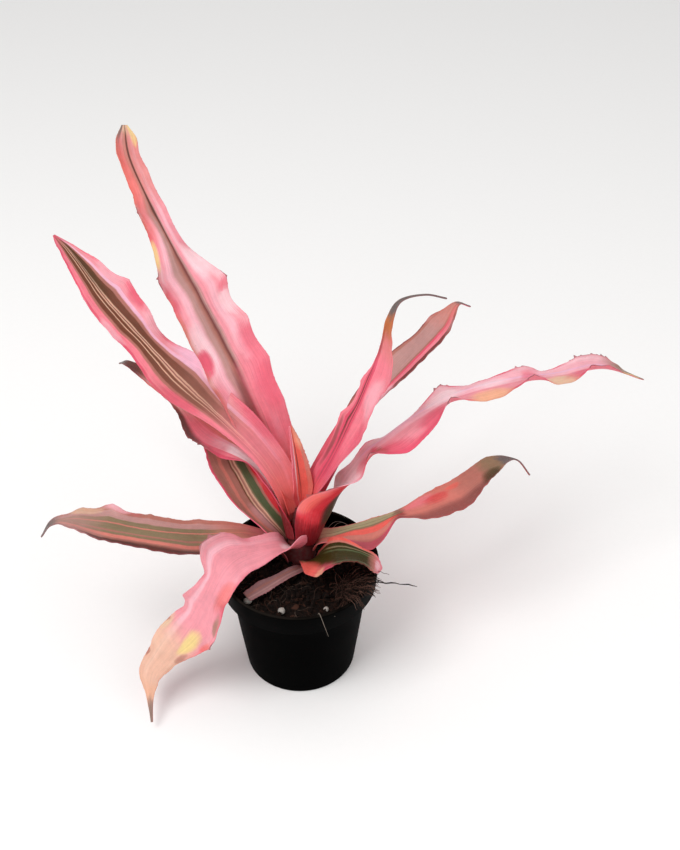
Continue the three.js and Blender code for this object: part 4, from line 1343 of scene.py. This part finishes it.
class EARTHSTAR_OT_stem(bpy.types.Operator):
    """Makes the short stem with the scars of old leaves round it"""

    bl_idname = "earthstar.stem"
    bl_label = "Stem"

    def execute(self, context):
        radii, heights = zip(*STEM_PROFILE)
        rod = dict(vertices=64, radius=1, depth=1, end_fill_type="TRIFAN")
        piece = add("stem_core", bpy.ops.mesh.primitive_cylinder_add, **rod)
        bpy.ops.object.mode_set(mode="EDIT")
        for cut in range(1, STEM_RINGS):
            bpy.ops.mesh.select_all(action="SELECT")
            bpy.ops.mesh.bisect(plane_co=(0, 0, cut / STEM_RINGS - 0.5), plane_no=(0, 0, 1))
        bpy.ops.object.mode_set(mode="OBJECT")
        rod = vertex_places(piece.data)
        z = heights[0] + (heights[-1] - heights[0]) * (rod[:, 2] + 0.5)
        wide = np.interp(z, heights, radii)
        scars = 0.15 * np.sin(2.2 * z) * (z > 0)
        radius = (wide - 0.15 + scars) * np.linalg.norm(rod[:, :2], axis=1)
        angle = np.arctan2(rod[:, 1], rod[:, 0])
        x, y = radius * np.cos(angle), radius * np.sin(angle)
        leaned_y = y * math.cos(STEM_LEAN) + z * math.sin(STEM_LEAN)
        leaned_z = z * math.cos(STEM_LEAN) - y * math.sin(STEM_LEAN)
        places = np.stack([x + STEM_FOOT[0], leaned_y + STEM_FOOT[1], leaned_z + SOIL_LEVEL], -1)
        set_places(piece.data, places * MM)
        paint = Paint("stem_tissue")
        fibre = paint.noise(paint.place(), 600, detail=3)
        colour = paint.mix(fibre.rise(0.35, 0.7), tint("crimson"), tint("maroon"))
        colour = paint.scaled(colour, 0.5)
        bump = paint.bump(fibre, 0.5, 0.0005)
        piece.data.materials.append(paint.surface(Base_Color=colour, Roughness=0.7, Normal=bump))
        smooth(piece)
        settle(piece, "stem")
        return {"FINISHED"}


CLUMP_PLACE = (21.5, -12)
WALL_REACH = 35.2  # how far out a strand may lie below the rim
# The roots that reach over the rim, the long one first: the points of each, its radius, its tone
# and how many thin ones run beside it
RIM_ROOTS = [
    (
        [(22, -13, 56), (28, -16.5, 61), (34, -19.5, 65.6), (44, -21, 66.2), (54, -21, 64)],
        0.42, 0, 0,
    ),
    ([(23, -15, 56.5), (28, -21, 62), (31, -24, 65.5), (34.5, -26.5, 63.5)], 0.34, 0.3, 16),
    ([(21, -16, 56.5), (24, -24, 61.5), (26.5, -29, 65.2), (29, -32, 61.5)], 0.34, 0.3, 16),
    ([(24, -12, 57), (30, -15, 63), (34, -17, 65.8), (39.5, -19.5, 65)], 0.34, 0.3, 16),
]


class EARTHSTAR_OT_roots(bpy.types.Operator):
    """Makes the matted tuft of dry roots by the rim, with the roots that reach over it"""

    bl_idname = "earthstar.roots"
    bl_label = "Dry roots"

    def execute(self, context):
        look = star().mix
        rng = np.random.default_rng(7)
        middle = np.array([*CLUMP_PLACE, soil_top(*CLUMP_PLACE)])
        parts, tones = [], []
        for _ in range(look.strands):
            angle = rng.random() * 2 * math.pi
            reach = rng.uniform(3, 10.5)
            way = np.array([math.cos(angle), math.sin(angle), 0])
            start = middle + way * rng.uniform(-4, 3) + [0, 0, rng.uniform(-0.5, 2)]
            end = middle + way * reach + [rng.uniform(0, 7), rng.uniform(-9, 1), rng.uniform(0, 8)]
            lift = rng.uniform(1, 5)
            bow = np.cross(way, [0, 0, 1]) * rng.normal(0, 2.2)
            up, down = start + bow + [0, 0, lift], end + bow * 0.4 + [0, 0, lift * 0.6]
            points = bezier(start, up, down, end, 10)
            self.add_strand(parts, tones, rng, points, rng.uniform(0.1, 0.3))
        for _ in range(look.strands // 3):
            start = middle + [rng.uniform(-5, 8), rng.uniform(-9, 2), rng.uniform(0, 2)]
            end = start + [rng.uniform(1, 9), rng.uniform(-8, 0), rng.uniform(3, 10)]
            top = (start + end) / 2 + [rng.uniform(-2, 2), rng.uniform(-2, 2), rng.uniform(3, 6)]
            points = bezier(start, start + [0, 0, 4], top, end, 10)
            self.add_strand(parts, tones, rng, points, rng.uniform(0.14, 0.3))
        for route, thick, tone, company in RIM_ROOTS:
            points = midrib_points(route)[:: ARC_SAMPLES // 5]
            wander = np.linspace(0, 3.5 * len(route), len(points))
            points[:, 2] += 0.35 * np.sin(2.1 * wander)
            knots = thick + 0.08 * np.sin(1.7 * wander) - 0.012 * wander
            parts.append(tube(points, knots, 8))
            tones.append(tone)
            for _ in range(company):
                beside = points + np.linspace(0.4, 1, len(points))[:, None] * rng.normal(0, 1.6, 3)
                beside[:, 2] += rng.uniform(-0.5, 1.5) * np.sin(np.linspace(0, 3, len(points)))
                last = rng.integers(8, len(points) + 1)
                self.add_strand(parts, tones, rng, beside[:last], rng.uniform(0.12, 0.3))
        piece = merged("root_tuft", parts, tones)
        piece.data.materials.append(crumb_paint("root_bark", look.peat, look.roots, 0.4))
        smooth(piece)
        settle(piece, "dry_roots")
        return {"FINISHED"}

    def add_strand(self, parts, tones, rng, points, thick):
        """One strand, kept above the mix and, where it is lower than the rim, inside the wall."""
        points[:, 2] = np.maximum(points[:, 2], soil_top(points[:, 0], points[:, 1]) + 0.2)
        flat = np.linalg.norm(points[:, :2], axis=1)
        low = points[:, 2] < POT_HEIGHT + 0.4
        points[:, 2] = np.where(low & (flat > WALL_REACH), POT_HEIGHT + 0.5, points[:, 2])
        parts.append(strand(points, thick, thick * 0.3, 5))
        tones.append(rng.random())


# Stage


class EARTHSTAR_OT_stage(bpy.types.Operator):
    """Makes the pale floor, the soft lights and the camera at the photograph's angle"""

    bl_idname = "earthstar.stage"
    bl_label = "Stage"

    def execute(self, context):
        look = star().stage
        floor = add("floor", bpy.ops.mesh.primitive_plane_add, size=6, location=(0, 0, 0))
        paint = Paint("floor_paper")
        grain = paint.noise(paint.place(), 300, detail=2)
        colour = paint.scaled(look.floor, 0.99 + grain * 0.02)
        floor.data.materials.append(paint.surface(Base_Color=colour, Roughness=0.9))
        self.add_light("key", (-0.55, -0.45, 1.1), 0.7, look.key)
        self.add_light("fill", (0.8, -0.3, 0.7), 0.8, look.fill)
        world = bpy.data.worlds.new("surroundings")
        world.use_nodes = True
        background = world.node_tree.nodes["Background"]
        background.inputs["Color"].default_value = (1, 1, 1, 1)
        background.inputs["Strength"].default_value = look.sky
        bpy.context.scene.world = world
        bpy.context.scene.view_settings.view_transform = "Standard"

        view = dict(location=CAMERA_PLACE, rotation=(math.pi / 2 - CAMERA_PITCH, 0, -CAMERA_YAW))
        camera = add("camera", bpy.ops.object.camera_add, **view)
        camera.data.lens = CAMERA_LENS
        camera.data.sensor_width = CAMERA_SENSOR
        bpy.context.scene.camera = camera
        return {"FINISHED"}

    def add_light(self, name, place, size, power):
        """A square soft light that faces the plant."""
        light = add(name, bpy.ops.object.light_add, type="AREA", location=place)
        light.data.size = size
        light.data.energy = power
        light.rotation_euler = (-light.location).to_track_quat("-Z", "Y").to_euler()


class EARTHSTAR_PT_panel(bpy.types.Panel):
    """Lists the operators and the settings that they read"""

    bl_idname = "EARTHSTAR_PT_panel"
    bl_label = "Earth star"
    bl_space_type = "VIEW_3D"
    bl_region_type = "UI"
    bl_category = "Earth star"

    def draw(self, context):
        for operator in OPERATORS:
            self.layout.operator(operator.bl_idname)
        for group in (star().colours, star().leaves, star().mix, star().pot, star().stage):
            box = self.layout.box()
            for name in group.__annotations__:
                box.prop(group, name)


OPERATORS = (
    EARTHSTAR_OT_pot,
    EARTHSTAR_OT_mix,
    EARTHSTAR_OT_perlite,
    EARTHSTAR_OT_stem,
    EARTHSTAR_OT_roots,
    EARTHSTAR_OT_leaves,
    EARTHSTAR_OT_stage,
)
CLASSES = (
    LeafColours,
    LeafSizes,
    MixLook,
    PotLook,
    StageLook,
    EarthStar,
    *OPERATORS,
    EARTHSTAR_PT_panel,
)


def register():
    for made in CLASSES:
        bpy.utils.register_class(made)
    bpy.types.Scene.earth_star = PointerProperty(type=EarthStar)


def unregister():
    del bpy.types.Scene.earth_star
    for made in reversed(CLASSES):
        bpy.utils.unregister_class(made)


def main():
    register()
    bpy.ops.earthstar.pot()
    bpy.ops.earthstar.mix()
    bpy.ops.earthstar.perlite()
    bpy.ops.earthstar.stem()
    bpy.ops.earthstar.roots()
    bpy.ops.earthstar.leaves()
    bpy.ops.earthstar.stage()


if __name__ == "__main__":
    main()
